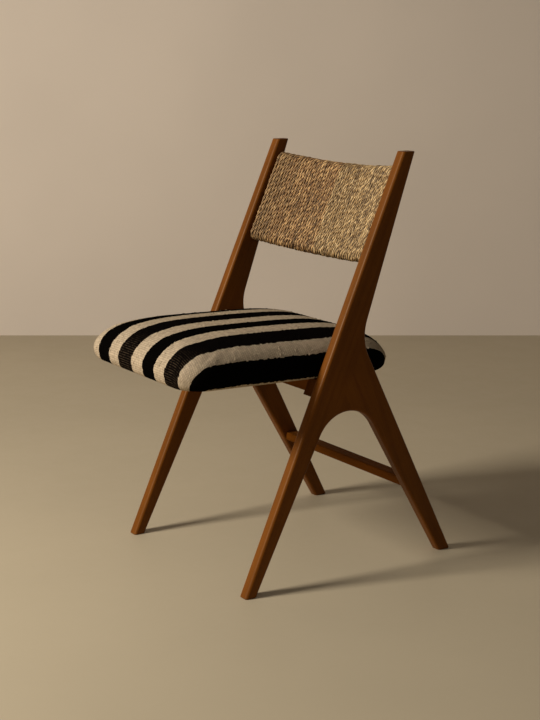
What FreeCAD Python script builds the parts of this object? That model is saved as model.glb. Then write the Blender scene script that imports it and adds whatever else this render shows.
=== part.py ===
"""Dining chair with compass-shaped wooden side frames, a cord-wound back and an upholstered seat.

Millimetres, +Z up. The chair faces -Y, its sitter's left is +X, and its two sides mirror each other.
Everything is drawn from the front toe: Y = 0 there, backwards is positive, and the floor is Z = 0.
The finished pieces then move forward together, so that the origin is the bottom centre of the chair.
"""

import FreeCAD
import Part
import math
import os

V = FreeCAD.Vector

# Whole chair
CHAIR_HEIGHT = 820.0
CHAIR_WIDTH = 451.0             # over the outer faces of the side frames

# Side frame, seen from the side
FRAME_BOARD = 24.0              # thickness of its boards
TOP_SETBACK = 365.8             # how far back the straight front edge is at the top
TOP_DEPTH = 29.5                # upright, front to back
FRONT_FOOT_DEPTH = 25.5
REAR_FOOT_START = 472.0
REAR_FOOT_DEPTH = 30.0
ARCH_BACK = 233.3               # where the inner edges of the two legs would cross
ARCH_HEIGHT = 405.9
ARCH_RADIUS = 74.0
WAIST_BACK = 270.2              # where the rear edges of upright and rear leg would cross
WAIST_HEIGHT = 463.9
WAIST_RADIUS = 90.0
EDGE_ROUND = 6.0                # along the boards
END_ROUND = 1.6                 # round the feet and the tops
UPRIGHT_BOARD_WIDTH = 62.5      # the rear leg is glued to the sawn rear edge of this board

# Dowels between upright and rear leg
FRAME_DOWEL_DIAMETER = 10.0
FRAME_DOWEL_LENGTH = 44.0
FRAME_DOWEL_COUNT = 2
FRAME_DOWEL_SPACING = 70.0
FRAME_DOWEL_START = 24.0        # along the slope, from the top of the arch to the lowest dowel
GLUE_GAP = 0.1                  # round dowels, tenons and screws

# Lower stretcher between the rear legs
STRETCHER_HEIGHT = 154.0        # floor to its middle
STRETCHER_DEPTH = 29.0
STRETCHER_THICKNESS = 18.0
STRETCHER_ROUND = 3.0
STRETCHER_TENON_DEPTH = 20.0
STRETCHER_TENON_THICKNESS = 9.0
STRETCHER_TENON_LENGTH = 15.0

# Bearers screwed to the side frames, and the rails between them
BEARER_WIDTH = 30.0
BEARER_HEIGHT = 31.0
BEARER_SETBACK = 7.0            # its ends stay inside the edges of the side frame
BEARER_ROUND = 2.0
SEAT_RAIL_THICKNESS = 22.0
SEAT_RAIL_SETBACK = 22.0        # from the lower corner of the bearer's end
RAIL_DOWEL_DIAMETER = 8.0
RAIL_DOWEL_LENGTH = 30.0
RAIL_DOWEL_SPACING = 15.0

# Wood screws
FRAME_SCREW_DIAMETER = 4.5      # bearer to side frame
FRAME_SCREW_LENGTH = 45.0
FRAME_SCREW_SPACING = 34.0
SEAT_SCREW_DIAMETER = 4.0       # up through the seat rails into the seat board
SEAT_SCREW_LENGTH = 40.0
SEAT_SCREW_INSET = 61.5         # from the end of a seat rail
SCREW_HEAD_SHARE = 2.0          # head over shank
SCREW_CONE_SHARE = 0.6          # height of the countersunk head over shank

# Upholstered seat, drawn level and then tilted
SEAT_FRONT = -110.0             # its foremost bulge
SEAT_REAR = 374.0
SEAT_TILT = 1.95                # degrees, down towards the back
SEAT_UNDERSIDE_HEIGHT = 392.4   # at the middle of the seat
SEAT_SIDE_GAP = 2.0             # cover to side frame
SEAT_BULGE_HEIGHT = 22.0        # from the underside up to the widest outline
SEAT_BOTTOM_INSET = 16.0        # the sides are drawn in by this much at the underside
SEAT_CROWN_HEIGHT = 90.0        # from the underside to the top of the crown
CROWN_FLAT_WIDTH = 100.0        # the nearly level top of the crown
CORNER_SHARE = 0.26             # corner radius over half width, at the widest outline
CROWN_CORNER_SHARE = 0.9        # and at the top of the crown
CROWN_FULLNESS_SHARE = 2.0      # power of the rise: how long the sides stay full
CROWN_SHOULDER_SHARE = 4.0      # power of the inset: how square the shoulders are
CROWN_SLOPE_SHARE = 0.25        # front and rear are drawn in by this much more than the sides
CROWN_LEVEL_SHARES = (0.30, 0.55, 0.74, 0.88, 0.965)
COVER_THICKNESS = 2.0
COVER_HEM = 34.0                # turned in under the seat board
SOFT_GAP = 0.3                  # kept round soft pieces
SEAT_BOARD_THICKNESS = 12.0
SEAT_BOARD_INSET = 15.0         # from the seat's widest outline
DUST_COVER_THICKNESS = 0.8

# Wound back
BACK_RAIL_THICKNESS = 16.0
BACK_RAIL_WIDTH = 34.0          # along the slope of the back
BACK_RAIL_SET_IN = 23.5         # front edge of the upright to the middle of the rail's end
BACK_BOW = 27.0                 # the rails bow backwards by this much
BACK_TOP = 868.8                # along the slope, from the toe to the top rail's upper edge
BACK_BOTTOM = 682.7             # and to the bottom rail's lower edge
BACK_TENON_THICKNESS = 8.0
BACK_TENON_WIDTH = 24.0
BACK_TENON_LENGTH = 14.0
BACK_TENON_FORWARD = 3.5        # the tenons sit in front of the rail's middle
CORD_DIAMETER = 7.3
CORD_LOOPS = 24                 # of each of the two lengths of cord
CORD_SIDES = 6                  # flats of the simplified round cord
CORD_GAP = 0.3                  # cord to rail
CORD_END_GAP = 1.0              # outermost turn to upright

OVERRUN = 20.0                  # how far every cutter passes the face that it cuts
EDGE_MATCH = 0.02               # how closely an edge lies in the plane that picks it

# Places that follow from the sizes
INNER_X = CHAIR_WIDTH / 2 - FRAME_BOARD
ACROSS = V(1, 0, 0)
UP = V(0, 0, 1)
RAKE = math.atan2(TOP_SETBACK, CHAIR_HEIGHT)
UP_SLOPE = V(0, math.sin(RAKE), math.cos(RAKE))
INWARDS = V(0, math.cos(RAKE), -math.sin(RAKE))
TILT = math.radians(SEAT_TILT)
SEAT_BACKWARDS = V(0, math.cos(TILT), -math.sin(TILT))
SEAT_UP = V(0, math.sin(TILT), math.cos(TILT))
SEAT_MIDDLE = V(0, (SEAT_FRONT + SEAT_REAR) / 2, SEAT_UNDERSIDE_HEIGHT)
SEAT_HALF_WIDTH = INNER_X - SEAT_SIDE_GAP
SEAT_HALF_DEPTH = (SEAT_REAR - SEAT_FRONT) / 2
BOW_RADIUS = (INNER_X ** 2 + BACK_BOW ** 2) / (2 * BACK_BOW)

# Corners of the side frame's outline
TOE = V(0, 0, 0)
TOP_FRONT = V(0, TOP_SETBACK, CHAIR_HEIGHT)
TOP_REAR = V(0, TOP_SETBACK + TOP_DEPTH, CHAIR_HEIGHT)
WAIST = V(0, WAIST_BACK, WAIST_HEIGHT)
HEEL = V(0, REAR_FOOT_START + REAR_FOOT_DEPTH, 0)
REAR_FOOT_FRONT = V(0, REAR_FOOT_START, 0)
ARCH = V(0, ARCH_BACK, ARCH_HEIGHT)
FRONT_FOOT_REAR = V(0, FRONT_FOOT_DEPTH, 0)


# Drawing helpers
def line(first, last):
    return Part.LineSegment(first, last).toShape()


def arc(first, middle, last):
    return Part.Arc(first, middle, last).toShape()


def polygon_face(corners):
    return Part.Face(Part.makePolygon(corners + corners[:1]))


def block(corner, first, second, third):
    """A box from one corner along three edge vectors."""
    return polygon_face([corner, corner + first, corner + first + second, corner + second]).extrude(third)


def rounded_corner(before, corner, after, radius):
    """First, middle and last point of the arc that rounds a corner."""
    to_before = (before - corner).normalize()
    to_after = (after - corner).normalize()
    half = to_before.getAngle(to_after) / 2
    run = radius / math.tan(half)
    bisector = (to_before + to_after).normalize()
    middle = corner + bisector * (radius / math.sin(half) - radius)
    return corner + to_before * run, middle, corner + to_after * run


def mirrored(shape):
    """The same piece on the sitter's right."""
    return shape.mirror(TOE, ACROSS)


def slope_point(across, inwards, along):
    """A point measured from the frame's sloping front edge: inwards, and up along the slope."""
    return ACROSS * across + INWARDS * inwards + UP_SLOPE * along


def seat_point(across, backwards, up):
    """A point measured from the middle of the seat's tilted underside."""
    return SEAT_MIDDLE + ACROSS * across + SEAT_BACKWARDS * backwards + SEAT_UP * up


def edge_back_at(first, last, height):
    """How far back a straight edge of the side frame is at a height."""
    return first.y + (last.y - first.y) * (height - first.z) / (last.z - first.z)


def edge_under_seat(first, last, up):
    """Where a straight edge in side view crosses a level of the tilted seat."""
    start = first - seat_point(0, 0, up)
    direction = last - first
    return first - direction * (start.dot(SEAT_UP) / direction.dot(SEAT_UP))


# Side frames
def leg_arch():
    """First, middle and last point of the arch between the legs."""
    return rounded_corner(REAR_FOOT_FRONT, ARCH, FRONT_FOOT_REAR, ARCH_RADIUS)


def frame_outline():
    """The straight front edge, the waist at the back and the arch between the legs."""
    waist = rounded_corner(TOP_REAR, WAIST, HEEL, WAIST_RADIUS)
    arch = leg_arch()
    return Part.Wire([
        line(TOE, TOP_FRONT),
        line(TOP_FRONT, TOP_REAR),
        line(TOP_REAR, waist[0]),
        arc(*waist),
        line(waist[2], HEEL),
        line(HEEL, REAR_FOOT_FRONT),
        line(REAR_FOOT_FRONT, arch[0]),
        arc(*arch),
        line(arch[2], FRONT_FOOT_REAR),
        line(FRONT_FOOT_REAR, TOE),
    ])


def lies_on_end(edge):
    """Whether an edge lies in the sole of a foot or in the top of the frame."""
    box = edge.BoundBox
    level = box.ZLength < EDGE_MATCH
    return level and (box.ZMin < EDGE_MATCH or box.ZMax > CHAIR_HEIGHT - EDGE_MATCH)


def frame_blank():
    """The left side frame with its rounded edges, before it is parted into two boards."""
    outline = frame_outline()
    outline.translate(ACROSS * INNER_X)
    blank = Part.Face(outline).extrude(ACROSS * FRAME_BOARD)
    sides = [edge for edge in blank.Edges
             if edge.BoundBox.XLength < EDGE_MATCH and not lies_on_end(edge)]
    blank = blank.makeFillet(EDGE_ROUND, sides)
    return blank.makeFillet(END_ROUND, [edge for edge in blank.Edges if lies_on_end(edge)])


def upright_band():
    """The space of the straight board that front leg and upright are sawn from."""
    corner = slope_point(INNER_X - OVERRUN, -OVERRUN, -OVERRUN)
    length = TOP_REAR.Length + 2 * OVERRUN
    return block(corner, ACROSS * (FRAME_BOARD + 2 * OVERRUN),
                 INWARDS * (UPRIGHT_BOARD_WIDTH + OVERRUN), UP_SLOPE * length)


def frame_dowels(gap=0.0):
    """Dowels across the glued joint or, with a gap, their holes."""
    length = FRAME_DOWEL_LENGTH + 2 * gap
    lowest = leg_arch()[1].dot(UP_SLOPE) + FRAME_DOWEL_START
    dowels = []
    for number in range(FRAME_DOWEL_COUNT):
        start = slope_point(INNER_X + FRAME_BOARD / 2, UPRIGHT_BOARD_WIDTH - length / 2,
                            lowest + number * FRAME_DOWEL_SPACING)
        dowels.append(Part.makeCylinder(FRAME_DOWEL_DIAMETER / 2 + gap, length, start, INWARDS))
    return Part.makeCompound(dowels)


def upright():
    """The left front leg and upright: one board from the floor to the top."""
    mortises = [back_tenon(1, low, GLUE_GAP) for low in back_rail_lows()]
    holes = [frame_dowels(GLUE_GAP), frame_screws(GLUE_GAP)]
    return frame_blank().common(upright_band()).cut(holes + mortises)


def rear_leg():
    """The left rear leg, glued against the upright between arch and waist."""
    holes = [frame_dowels(GLUE_GAP), frame_screws(GLUE_GAP), stretcher_tenon(1, GLUE_GAP)]
    return frame_blank().cut(upright_band()).cut(holes)


# Lower stretcher
def stretcher_middle():
    """The stretcher's centre line, halfway between the two edges of the rear leg."""
    leg_front = edge_back_at(REAR_FOOT_FRONT, ARCH, STRETCHER_HEIGHT)
    leg_rear = edge_back_at(HEEL, WAIST, STRETCHER_HEIGHT)
    return V(0, (leg_front + leg_rear) / 2, STRETCHER_HEIGHT)


def stretcher_tenon(side, gap=0.0):
    """The stub tenon at one end or, with a gap, its mortise."""
    depth = STRETCHER_TENON_DEPTH + 2 * gap
    thickness = STRETCHER_TENON_THICKNESS + 2 * gap
    corner = stretcher_middle() + V(side * INNER_X, -depth / 2, -thickness / 2)
    return block(corner, ACROSS * (side * (STRETCHER_TENON_LENGTH + gap)),
                 V(0, depth, 0), UP * thickness)


def lower_stretcher():
    corner = stretcher_middle() + V(-INNER_X, -STRETCHER_DEPTH / 2, -STRETCHER_THICKNESS / 2)
    bar = block(corner, ACROSS * (2 * INNER_X), V(0, STRETCHER_DEPTH, 0), UP * STRETCHER_THICKNESS)
    bar = bar.makeFillet(STRETCHER_ROUND,
                         [edge for edge in bar.Edges if edge.BoundBox.XLength > INNER_X])
    return bar.fuse([stretcher_tenon(1), stretcher_tenon(-1)]).removeSplitter()


# Bearers and rails under the seat
def bearer_outline():
    """Side view of a bearer: lower front, lower rear, upper rear and upper front corner."""
    setback = V(0, BEARER_SETBACK, 0)
    front = (TOE + setback, TOP_FRONT + setback)
    rear = (HEEL - setback, WAIST - setback)
    top = -SOFT_GAP
    bottom = top - BEARER_HEIGHT
    return [edge_under_seat(*front, bottom), edge_under_seat(*rear, bottom),
            edge_under_seat(*rear, top), edge_under_seat(*front, top)]


def bearer_ends():
    """Where the lower edge of a bearer starts and ends, backwards from the seat's middle."""
    lower_front, lower_rear = bearer_outline()[:2]
    return [(corner - SEAT_MIDDLE).dot(SEAT_BACKWARDS) for corner in (lower_front, lower_rear)]


def seat_bearer():
    """The left bearer, its inner edges eased, with holes for its screws and dowels."""
    corners = [corner + ACROSS * (INNER_X - BEARER_WIDTH) for corner in bearer_outline()]
    bar = polygon_face(corners).extrude(ACROSS * BEARER_WIDTH)
    bar = bar.makeFillet(BEARER_ROUND,
                         [edge for edge in bar.Edges
                          if edge.BoundBox.XMax < INNER_X - BEARER_WIDTH + EDGE_MATCH])
    return bar.cut([frame_screws(GLUE_GAP), rail_dowels(GLUE_GAP)])


def seat_rail_starts():
    """Backwards from the seat's middle to the front face of each rail."""
    front, rear = bearer_ends()
    return front + SEAT_RAIL_SETBACK, rear - SEAT_RAIL_SETBACK - SEAT_RAIL_THICKNESS


def seat_rail(start):
    """A rail between the two bearers, with holes for its dowels and seat screws."""
    half = INNER_X - BEARER_WIDTH
    bar = block(seat_point(-half, start, -SOFT_GAP - BEARER_HEIGHT), ACROSS * (2 * half),
                SEAT_BACKWARDS * SEAT_RAIL_THICKNESS, SEAT_UP * BEARER_HEIGHT)
    return bar.cut([rail_dowels(GLUE_GAP), seat_screws(GLUE_GAP)])


def rail_dowels(gap=0.0):
    """Two dowels at each end of each seat rail or, with a gap, their holes."""
    length = RAIL_DOWEL_LENGTH + 2 * gap
    middle = -SOFT_GAP - BEARER_HEIGHT / 2
    dowels = []
    for start in seat_rail_starts():
        for up in (middle - RAIL_DOWEL_SPACING / 2, middle + RAIL_DOWEL_SPACING / 2):
            for side in (-1, 1):
                end = seat_point(side * (INNER_X - BEARER_WIDTH) - length / 2,
                                 start + SEAT_RAIL_THICKNESS / 2, up)
                dowels.append(Part.makeCylinder(RAIL_DOWEL_DIAMETER / 2 + gap, length, end, ACROSS))
    return Part.makeCompound(dowels)


def wood_screw(diameter, length, head, direction, gap):
    """A countersunk wood screw with a plain shank or, with a gap, its hole."""
    shank = diameter / 2 + gap
    outline = [V(0, 0, 0), V(diameter * SCREW_HEAD_SHARE / 2 + gap, 0, 0),
               V(shank, 0, diameter * SCREW_CONE_SHARE), V(shank, 0, length - diameter),
               V(0, 0, length + gap)]
    screw = polygon_face(outline).revolve(TOE, UP)
    turn = FreeCAD.Rotation(UP, direction)
    return screw.transformed(FreeCAD.Placement(head, turn).toMatrix())


def frame_screws(gap=0.0):
    """Two screws hold each bearer to its side frame, between the seat rails."""
    middle = sum(bearer_ends()) / 2
    screws = []
    for backwards in (middle - FRAME_SCREW_SPACING / 2, middle + FRAME_SCREW_SPACING / 2):
        for side in (-1, 1):
            head = seat_point(side * (INNER_X - BEARER_WIDTH), backwards,
                              -SOFT_GAP - BEARER_HEIGHT / 2)
            screws.append(wood_screw(FRAME_SCREW_DIAMETER, FRAME_SCREW_LENGTH, head,
                                     ACROSS * side, gap))
    return Part.makeCompound(screws)


def seat_screws(gap=0.0):
    """Two screws in each seat rail hold the seat board down."""
    outer = INNER_X - BEARER_WIDTH - SEAT_SCREW_INSET
    screws = []
    for start in seat_rail_starts():
        for across in (-outer, outer):
            head = seat_point(across, start + SEAT_RAIL_THICKNESS / 2, -SOFT_GAP - BEARER_HEIGHT)
            screws.append(wood_screw(SEAT_SCREW_DIAMETER, SEAT_SCREW_LENGTH, head, SEAT_UP, gap))
    return Part.makeCompound(screws)


# Upholstered seat
def seat_outline(inset, radius, up, slope=0):
    """A level rounded rectangle, drawn in from the widest outline, of four lines and four arcs."""
    half_width = SEAT_HALF_WIDTH - inset
    half_depth = SEAT_HALF_DEPTH - inset - slope
    arc_inset = radius * (1 - math.sqrt(0.5))
    edges = []
    for quarter in range(4):
        long, short = (half_depth, half_width) if quarter % 2 else (half_width, half_depth)
        points = [V(radius - long, -short, up), V(long - radius, -short, up),
                  V(long - arc_inset, arc_inset - short, up), V(long, radius - short, up)]
        turn = FreeCAD.Rotation(UP, 90 * quarter)
        first, last, middle, end = [turn.multVec(point) for point in points]
        edges += [line(first, last), arc(last, middle, end)]
    return Part.Wire(edges)


def crown_inset(rise_share):
    """How far the crown is drawn in, at a share of its rise above the widest outline."""
    fullness = (1 - rise_share ** CROWN_FULLNESS_SHARE) ** (1 / CROWN_SHOULDER_SHARE)
    return SEAT_HALF_WIDTH * (1 - fullness)


def cushion_levels():
    """Inset and height of each outline: the rounded lower edge, the bulge and the crown."""
    levels = []
    for share in (0, 0.5, 1):
        turn = share * math.pi / 2
        levels.append((SEAT_BOTTOM_INSET * (1 - math.sin(turn)),
                       SEAT_BULGE_HEIGHT * (1 - math.cos(turn))))
    rise = SEAT_CROWN_HEIGHT - SEAT_BULGE_HEIGHT
    for share in CROWN_LEVEL_SHARES:
        levels.append((crown_inset(share), SEAT_BULGE_HEIGHT + share * rise))
    levels.append((SEAT_HALF_WIDTH - CROWN_FLAT_WIDTH / 2, SEAT_CROWN_HEIGHT))
    return levels


def cushion(skin):
    """The crowned cushion, smaller all over by a skin."""
    top_inset = SEAT_HALF_WIDTH - CROWN_FLAT_WIDTH / 2
    outlines = []
    for inset, height in cushion_levels():
        rounding = CORNER_SHARE
        slope = 0
        if height > SEAT_BULGE_HEIGHT:
            rounding += (CROWN_CORNER_SHARE - CORNER_SHARE) * inset / top_inset
            slope = CROWN_SLOPE_SHARE * inset
        drawn_in = inset + skin
        squeeze = (SEAT_CROWN_HEIGHT - 2 * skin) / SEAT_CROWN_HEIGHT
        outlines.append(seat_outline(drawn_in, rounding * (SEAT_HALF_WIDTH - drawn_in),
                                     skin + height * squeeze, slope))
    return Part.makeLoft(outlines, True, False)


def level_plate(inset, thickness, up):
    """A flat sheet with the outline of the seat's underside, drawn in."""
    radius = CORNER_SHARE * (SEAT_HALF_WIDTH - inset)
    return Part.Face(seat_outline(inset, radius, up)).extrude(UP * thickness)


def placed_seat(shape):
    """Takes a piece of the seat from its level drawing to its tilted place."""
    turn = FreeCAD.Rotation(ACROSS, -SEAT_TILT)
    return shape.transformed(FreeCAD.Placement(SEAT_MIDDLE, turn).toMatrix())


def seat_cover():
    """The cloth: crowned outside, hollow inside, its hem turned in under the board."""
    window = level_plate(SEAT_BOTTOM_INSET + COVER_HEM, OVERRUN + 2 * COVER_THICKNESS, -OVERRUN)
    return placed_seat(cushion(0).cut([cushion(COVER_THICKNESS), window]))


def seat_board():
    """Plywood that the cover is stapled to, with holes for the seat screws."""
    plate = level_plate(SEAT_BOARD_INSET, SEAT_BOARD_THICKNESS, COVER_THICKNESS + SOFT_GAP)
    return placed_seat(plate).cut(seat_screws(GLUE_GAP))


def seat_foam():
    """The crowned foam, glued on the board and drawn down over its edges."""
    room = level_plate(SEAT_BOARD_INSET - SOFT_GAP, OVERRUN + SEAT_BOARD_THICKNESS + 2 * SOFT_GAP,
                       COVER_THICKNESS - OVERRUN)
    return placed_seat(cushion(COVER_THICKNESS + SOFT_GAP).cut(room))


def dust_cover():
    """Thin black cloth that closes the underside inside the hem."""
    sheet = level_plate(SEAT_BOTTOM_INSET + COVER_HEM + SOFT_GAP, DUST_COVER_THICKNESS,
                        COVER_THICKNESS - DUST_COVER_THICKNESS)
    return placed_seat(sheet).cut(seat_screws(GLUE_GAP))


# Wound back
def bow_depth(across, offset):
    """In from the upright's front edge to a rail's middle, or to a curve parallel to it."""
    return (BACK_RAIL_SET_IN + BACK_BOW - BOW_RADIUS
            + math.sqrt((BOW_RADIUS + offset) ** 2 - across ** 2))


def back_rail_lows():
    """Where the top and the bottom rail start, along the slope."""
    return BACK_TOP - BACK_RAIL_WIDTH, BACK_BOTTOM


def rail_plan(along):
    """The bowed rail in plan: two concentric arcs and two flat ends."""
    half = BACK_RAIL_THICKNESS / 2

    def at(across, offset):
        return slope_point(across, bow_depth(across, offset), along)

    return Part.Wire([
        arc(at(-INNER_X, -half), at(0, -half), at(INNER_X, -half)),
        line(at(INNER_X, -half), at(INNER_X, half)),
        arc(at(INNER_X, half), at(0, half), at(-INNER_X, half)),
        line(at(-INNER_X, half), at(-INNER_X, -half)),
    ])


def rail_nose(edge, way):
    """The half-round edge that the cord goes over, turned about the centre of the bow."""
    half = BACK_RAIL_THICKNESS / 2
    crest = slope_point(0, bow_depth(0, 0), edge - way * half)
    section = Part.Face(Part.Wire([
        arc(crest - INWARDS * half, crest + UP_SLOPE * (way * half), crest + INWARDS * half),
        line(crest + INWARDS * half, crest - INWARDS * half),
    ]))
    centre = crest - INWARDS * BOW_RADIUS
    half_sweep = math.degrees(math.asin(INNER_X / (BOW_RADIUS - BACK_RAIL_THICKNESS)))
    section.rotate(centre, UP_SLOPE, -half_sweep)
    return section.revolve(centre, UP_SLOPE, 2 * half_sweep)


def back_tenon(side, low, gap=0.0):
    """The tenon at one end of a back rail or, with a gap, its mortise."""
    thickness = BACK_TENON_THICKNESS + 2 * gap
    width = BACK_TENON_WIDTH + 2 * gap
    corner = slope_point(side * INNER_X, BACK_RAIL_SET_IN - BACK_TENON_FORWARD - thickness / 2,
                         low + (BACK_RAIL_WIDTH - width) / 2)
    return block(corner, ACROSS * (side * (BACK_TENON_LENGTH + gap)),
                 INWARDS * thickness, UP_SLOPE * width)


def back_rail(low, way):
    """A bowed rail whose outer edge, up or down by its way, is a half round."""
    straight = BACK_RAIL_WIDTH - BACK_RAIL_THICKNESS / 2
    edge = low + BACK_RAIL_WIDTH if way > 0 else low
    start = low if way > 0 else low + BACK_RAIL_THICKNESS / 2
    rail = Part.Face(rail_plan(start)).extrude(UP_SLOPE * straight)
    between = block(slope_point(-INNER_X, -OVERRUN, low - OVERRUN), ACROSS * (2 * INNER_X),
                    INWARDS * (BACK_RAIL_SET_IN + BACK_BOW + 2 * OVERRUN),
                    UP_SLOPE * (BACK_RAIL_WIDTH + 2 * OVERRUN))
    tenons = [back_tenon(side, low) for side in (-1, 1)]
    return rail.fuse([rail_nose(edge, way).common(between)] + tenons).removeSplitter()


def outermost_turn():
    """Across from the chair's middle to the outermost run of cord."""
    return INNER_X - CORD_END_GAP - CORD_DIAMETER / 2


def cord_pitch():
    """From each run of cord to the next on the same side of the back."""
    return outermost_turn() / CORD_LOOPS


def cord_point(across, side, along):
    """A point of the cord's middle, in front of (-1) or behind (1) the rails."""
    flat_radius = CORD_DIAMETER / 2 * math.cos(math.pi / CORD_SIDES)
    reach = BACK_RAIL_THICKNESS / 2 + CORD_GAP + flat_radius
    lean = math.sqrt(1 - (across / BOW_RADIUS) ** 2)
    return slope_point(across, bow_depth(across, 0) + side * reach / lean, along)


def half_turn(start, end, way):
    """The cord's way round a rail's edge, in the plane of the slope and the two runs."""
    middle = (start + end) / 2
    return arc(start, middle + UP_SLOPE * (way * (end - start).Length / 2), end)


def cord_route(first_across):
    """One length of cord: round the bottom rail, up the front, over the top rail and down the back."""
    bottom = BACK_BOTTOM + BACK_RAIL_THICKNESS / 2
    top = BACK_TOP - BACK_RAIL_THICKNESS / 2
    tail_end = bottom + CORD_DIAMETER
    edges = [line(cord_point(first_across, 1, tail_end), cord_point(first_across, 1, bottom))]
    for number in range(CORD_LOOPS):
        behind = first_across + number * cord_pitch()
        front = behind + cord_pitch() / 2
        next_behind = behind + cord_pitch()
        last = number == CORD_LOOPS - 1
        run_end = tail_end + CORD_DIAMETER if last else bottom
        edges += [
            half_turn(cord_point(behind, 1, bottom), cord_point(front, -1, bottom), -1),
            line(cord_point(front, -1, bottom), cord_point(front, -1, top)),
            half_turn(cord_point(front, -1, top), cord_point(next_behind, 1, top), 1),
            line(cord_point(next_behind, 1, top), cord_point(next_behind, 1, run_end)),
        ]
    return Part.Wire(edges)


def wound_cord(route):
    """One unbroken tube along a route, with two of its flats towards the rails."""
    start = route.OrderedVertexes[0].Point
    corners = []
    for number in range(CORD_SIDES):
        turn = FreeCAD.Rotation(UP_SLOPE, 360 * number / CORD_SIDES)
        corners.append(start + turn.multVec(ACROSS * (CORD_DIAMETER / 2)))
    return route.makePipeShell([Part.makePolygon(corners + corners[:1])], True, False)


def least_gap(route):
    """The least gap between turns of a cord, measured on points along its middle."""
    step = CORD_DIAMETER / 4
    skipped = 4 * CORD_DIAMETER
    travelled = 0
    places = []
    for edge in route.OrderedEdges:
        count = math.ceil(edge.Length / step)
        for number, point in enumerate(edge.discretize(count + 1)[:-1]):
            places.append((point.x, travelled + edge.Length * number / count, point))
        travelled += edge.Length
    places.sort(key=lambda place: place[0])
    least = travelled
    for number, (across, way, point) in enumerate(places):
        for other_across, other_way, other in places[number + 1:]:
            if other_across - across > 2 * cord_pitch():
                break
            if abs(other_way - way) > skipped:
                least = min(least, point.distanceToPoint(other))
    return least - CORD_DIAMETER


# The whole chair
def two_sides(name, shape):
    """A piece of the left side and its mirror image, by node name."""
    return {"left_" + name: shape, "right_" + name: mirrored(shape)}


def chair():
    """Every piece by its node name."""
    top_rail_low, bottom_rail_low = back_rail_lows()
    front_rail_start, rear_rail_start = seat_rail_starts()
    pieces = {}
    pieces.update(two_sides("upright", upright()))
    pieces.update(two_sides("rear_leg", rear_leg()))
    pieces.update(two_sides("frame_dowels", frame_dowels()))
    pieces.update(two_sides("seat_bearer", seat_bearer()))
    pieces["lower_stretcher"] = lower_stretcher()
    pieces["front_seat_rail"] = seat_rail(front_rail_start)
    pieces["rear_seat_rail"] = seat_rail(rear_rail_start)
    pieces["seat_rail_dowels"] = rail_dowels()
    pieces["bearer_screws"] = frame_screws()
    pieces["seat_screws"] = seat_screws()
    pieces["seat_board"] = seat_board()
    pieces["seat_foam"] = seat_foam()
    pieces["seat_cover"] = seat_cover()
    pieces["seat_dust_cover"] = dust_cover()
    pieces["back_top_rail"] = back_rail(top_rail_low, 1)
    pieces["back_bottom_rail"] = back_rail(bottom_rail_low, -1)
    for name, first_across in (("back_cord_right", -outermost_turn()), ("back_cord_left", 0)):
        route = cord_route(first_across)
        pieces[name] = wound_cord(route)
        print(name, "least gap between turns:", round(least_gap(route), 3), "mm")
    return pieces


def forward_shift():
    """From the toe back to the middle of the whole chair, between seat front and heel."""
    foremost = seat_point(0, -SEAT_HALF_DEPTH, SEAT_BULGE_HEIGHT)
    return (foremost.y + HEEL.y) / 2


def main():
    os.makedirs("parts", exist_ok=True)
    for name, shape in chair().items():
        shape.translate(V(0, -forward_shift(), 0))
        shape.exportStep("parts/" + name + ".step")


main()
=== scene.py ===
"""Looks of the dining chair: its wood, its wound back and its striped seat, in metres."""

import logging
import math
from dataclasses import dataclass
from enum import Enum
from typing import Any, Sequence

import bpy
import numpy as np
from bpy.types import Material, Mesh, Node, NodeSocket, NodeTree, Object
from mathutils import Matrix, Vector


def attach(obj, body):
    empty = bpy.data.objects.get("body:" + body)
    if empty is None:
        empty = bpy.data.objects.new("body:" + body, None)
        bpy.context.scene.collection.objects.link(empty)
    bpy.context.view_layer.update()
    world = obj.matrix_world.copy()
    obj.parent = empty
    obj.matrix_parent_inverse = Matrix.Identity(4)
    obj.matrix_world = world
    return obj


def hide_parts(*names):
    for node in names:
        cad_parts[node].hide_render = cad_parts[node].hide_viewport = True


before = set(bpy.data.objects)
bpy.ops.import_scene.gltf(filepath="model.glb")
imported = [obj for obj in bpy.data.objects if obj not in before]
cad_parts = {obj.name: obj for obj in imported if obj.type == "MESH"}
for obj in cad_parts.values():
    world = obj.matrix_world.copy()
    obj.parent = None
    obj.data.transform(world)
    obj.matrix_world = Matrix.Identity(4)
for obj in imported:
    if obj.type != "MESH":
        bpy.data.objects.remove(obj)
LOG = logging.getLogger("chair")
Colour = tuple[float, float, float]
Triple = tuple[float, float, float]
Table = tuple[tuple[float, ...], tuple[float, ...]]  # places, and the value at each
FLOAT, VECTOR = "NodeSocketFloat", "NodeSocketVector"
ORIGIN: Triple = (0.0, 0.0, 0.0)


def srgb(red: int, green: int, blue: int) -> Colour:
    """Turns a screen colour into the linear colour that a shader wants.

    Args:
        red: its red, of 0 to 255.
        green: its green.
        blue: its blue.

    Returns:
        The linear colour.
    """
    def linear(value: float) -> float:
        """One channel by the screen curve."""
        return value / 12.92 if value <= 0.04045 else ((value + 0.055) / 1.055) ** 2.4

    return linear(red / 255), linear(green / 255), linear(blue / 255)


# Meshes
def mesh_piece(name: str, points: np.ndarray, faces: np.ndarray | list, smooth: bool = True) -> Object:
    """Puts a worked-out surface into a new object at the origin.

    Args:
        name: the piece's name.
        points: corner places, one row each.
        faces: corner numbers of each face.
        smooth: whether faces shade as one surface.

    Returns:
        The object, linked to the scene.
    """
    mesh = bpy.data.meshes.new(name)
    mesh.from_pydata(points, [], faces)
    mesh.polygons.foreach_set("use_smooth", np.full(len(mesh.polygons), smooth))
    mesh.update()
    piece = bpy.data.objects.new(name, mesh)
    bpy.context.scene.collection.objects.link(piece)
    return piece


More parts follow.
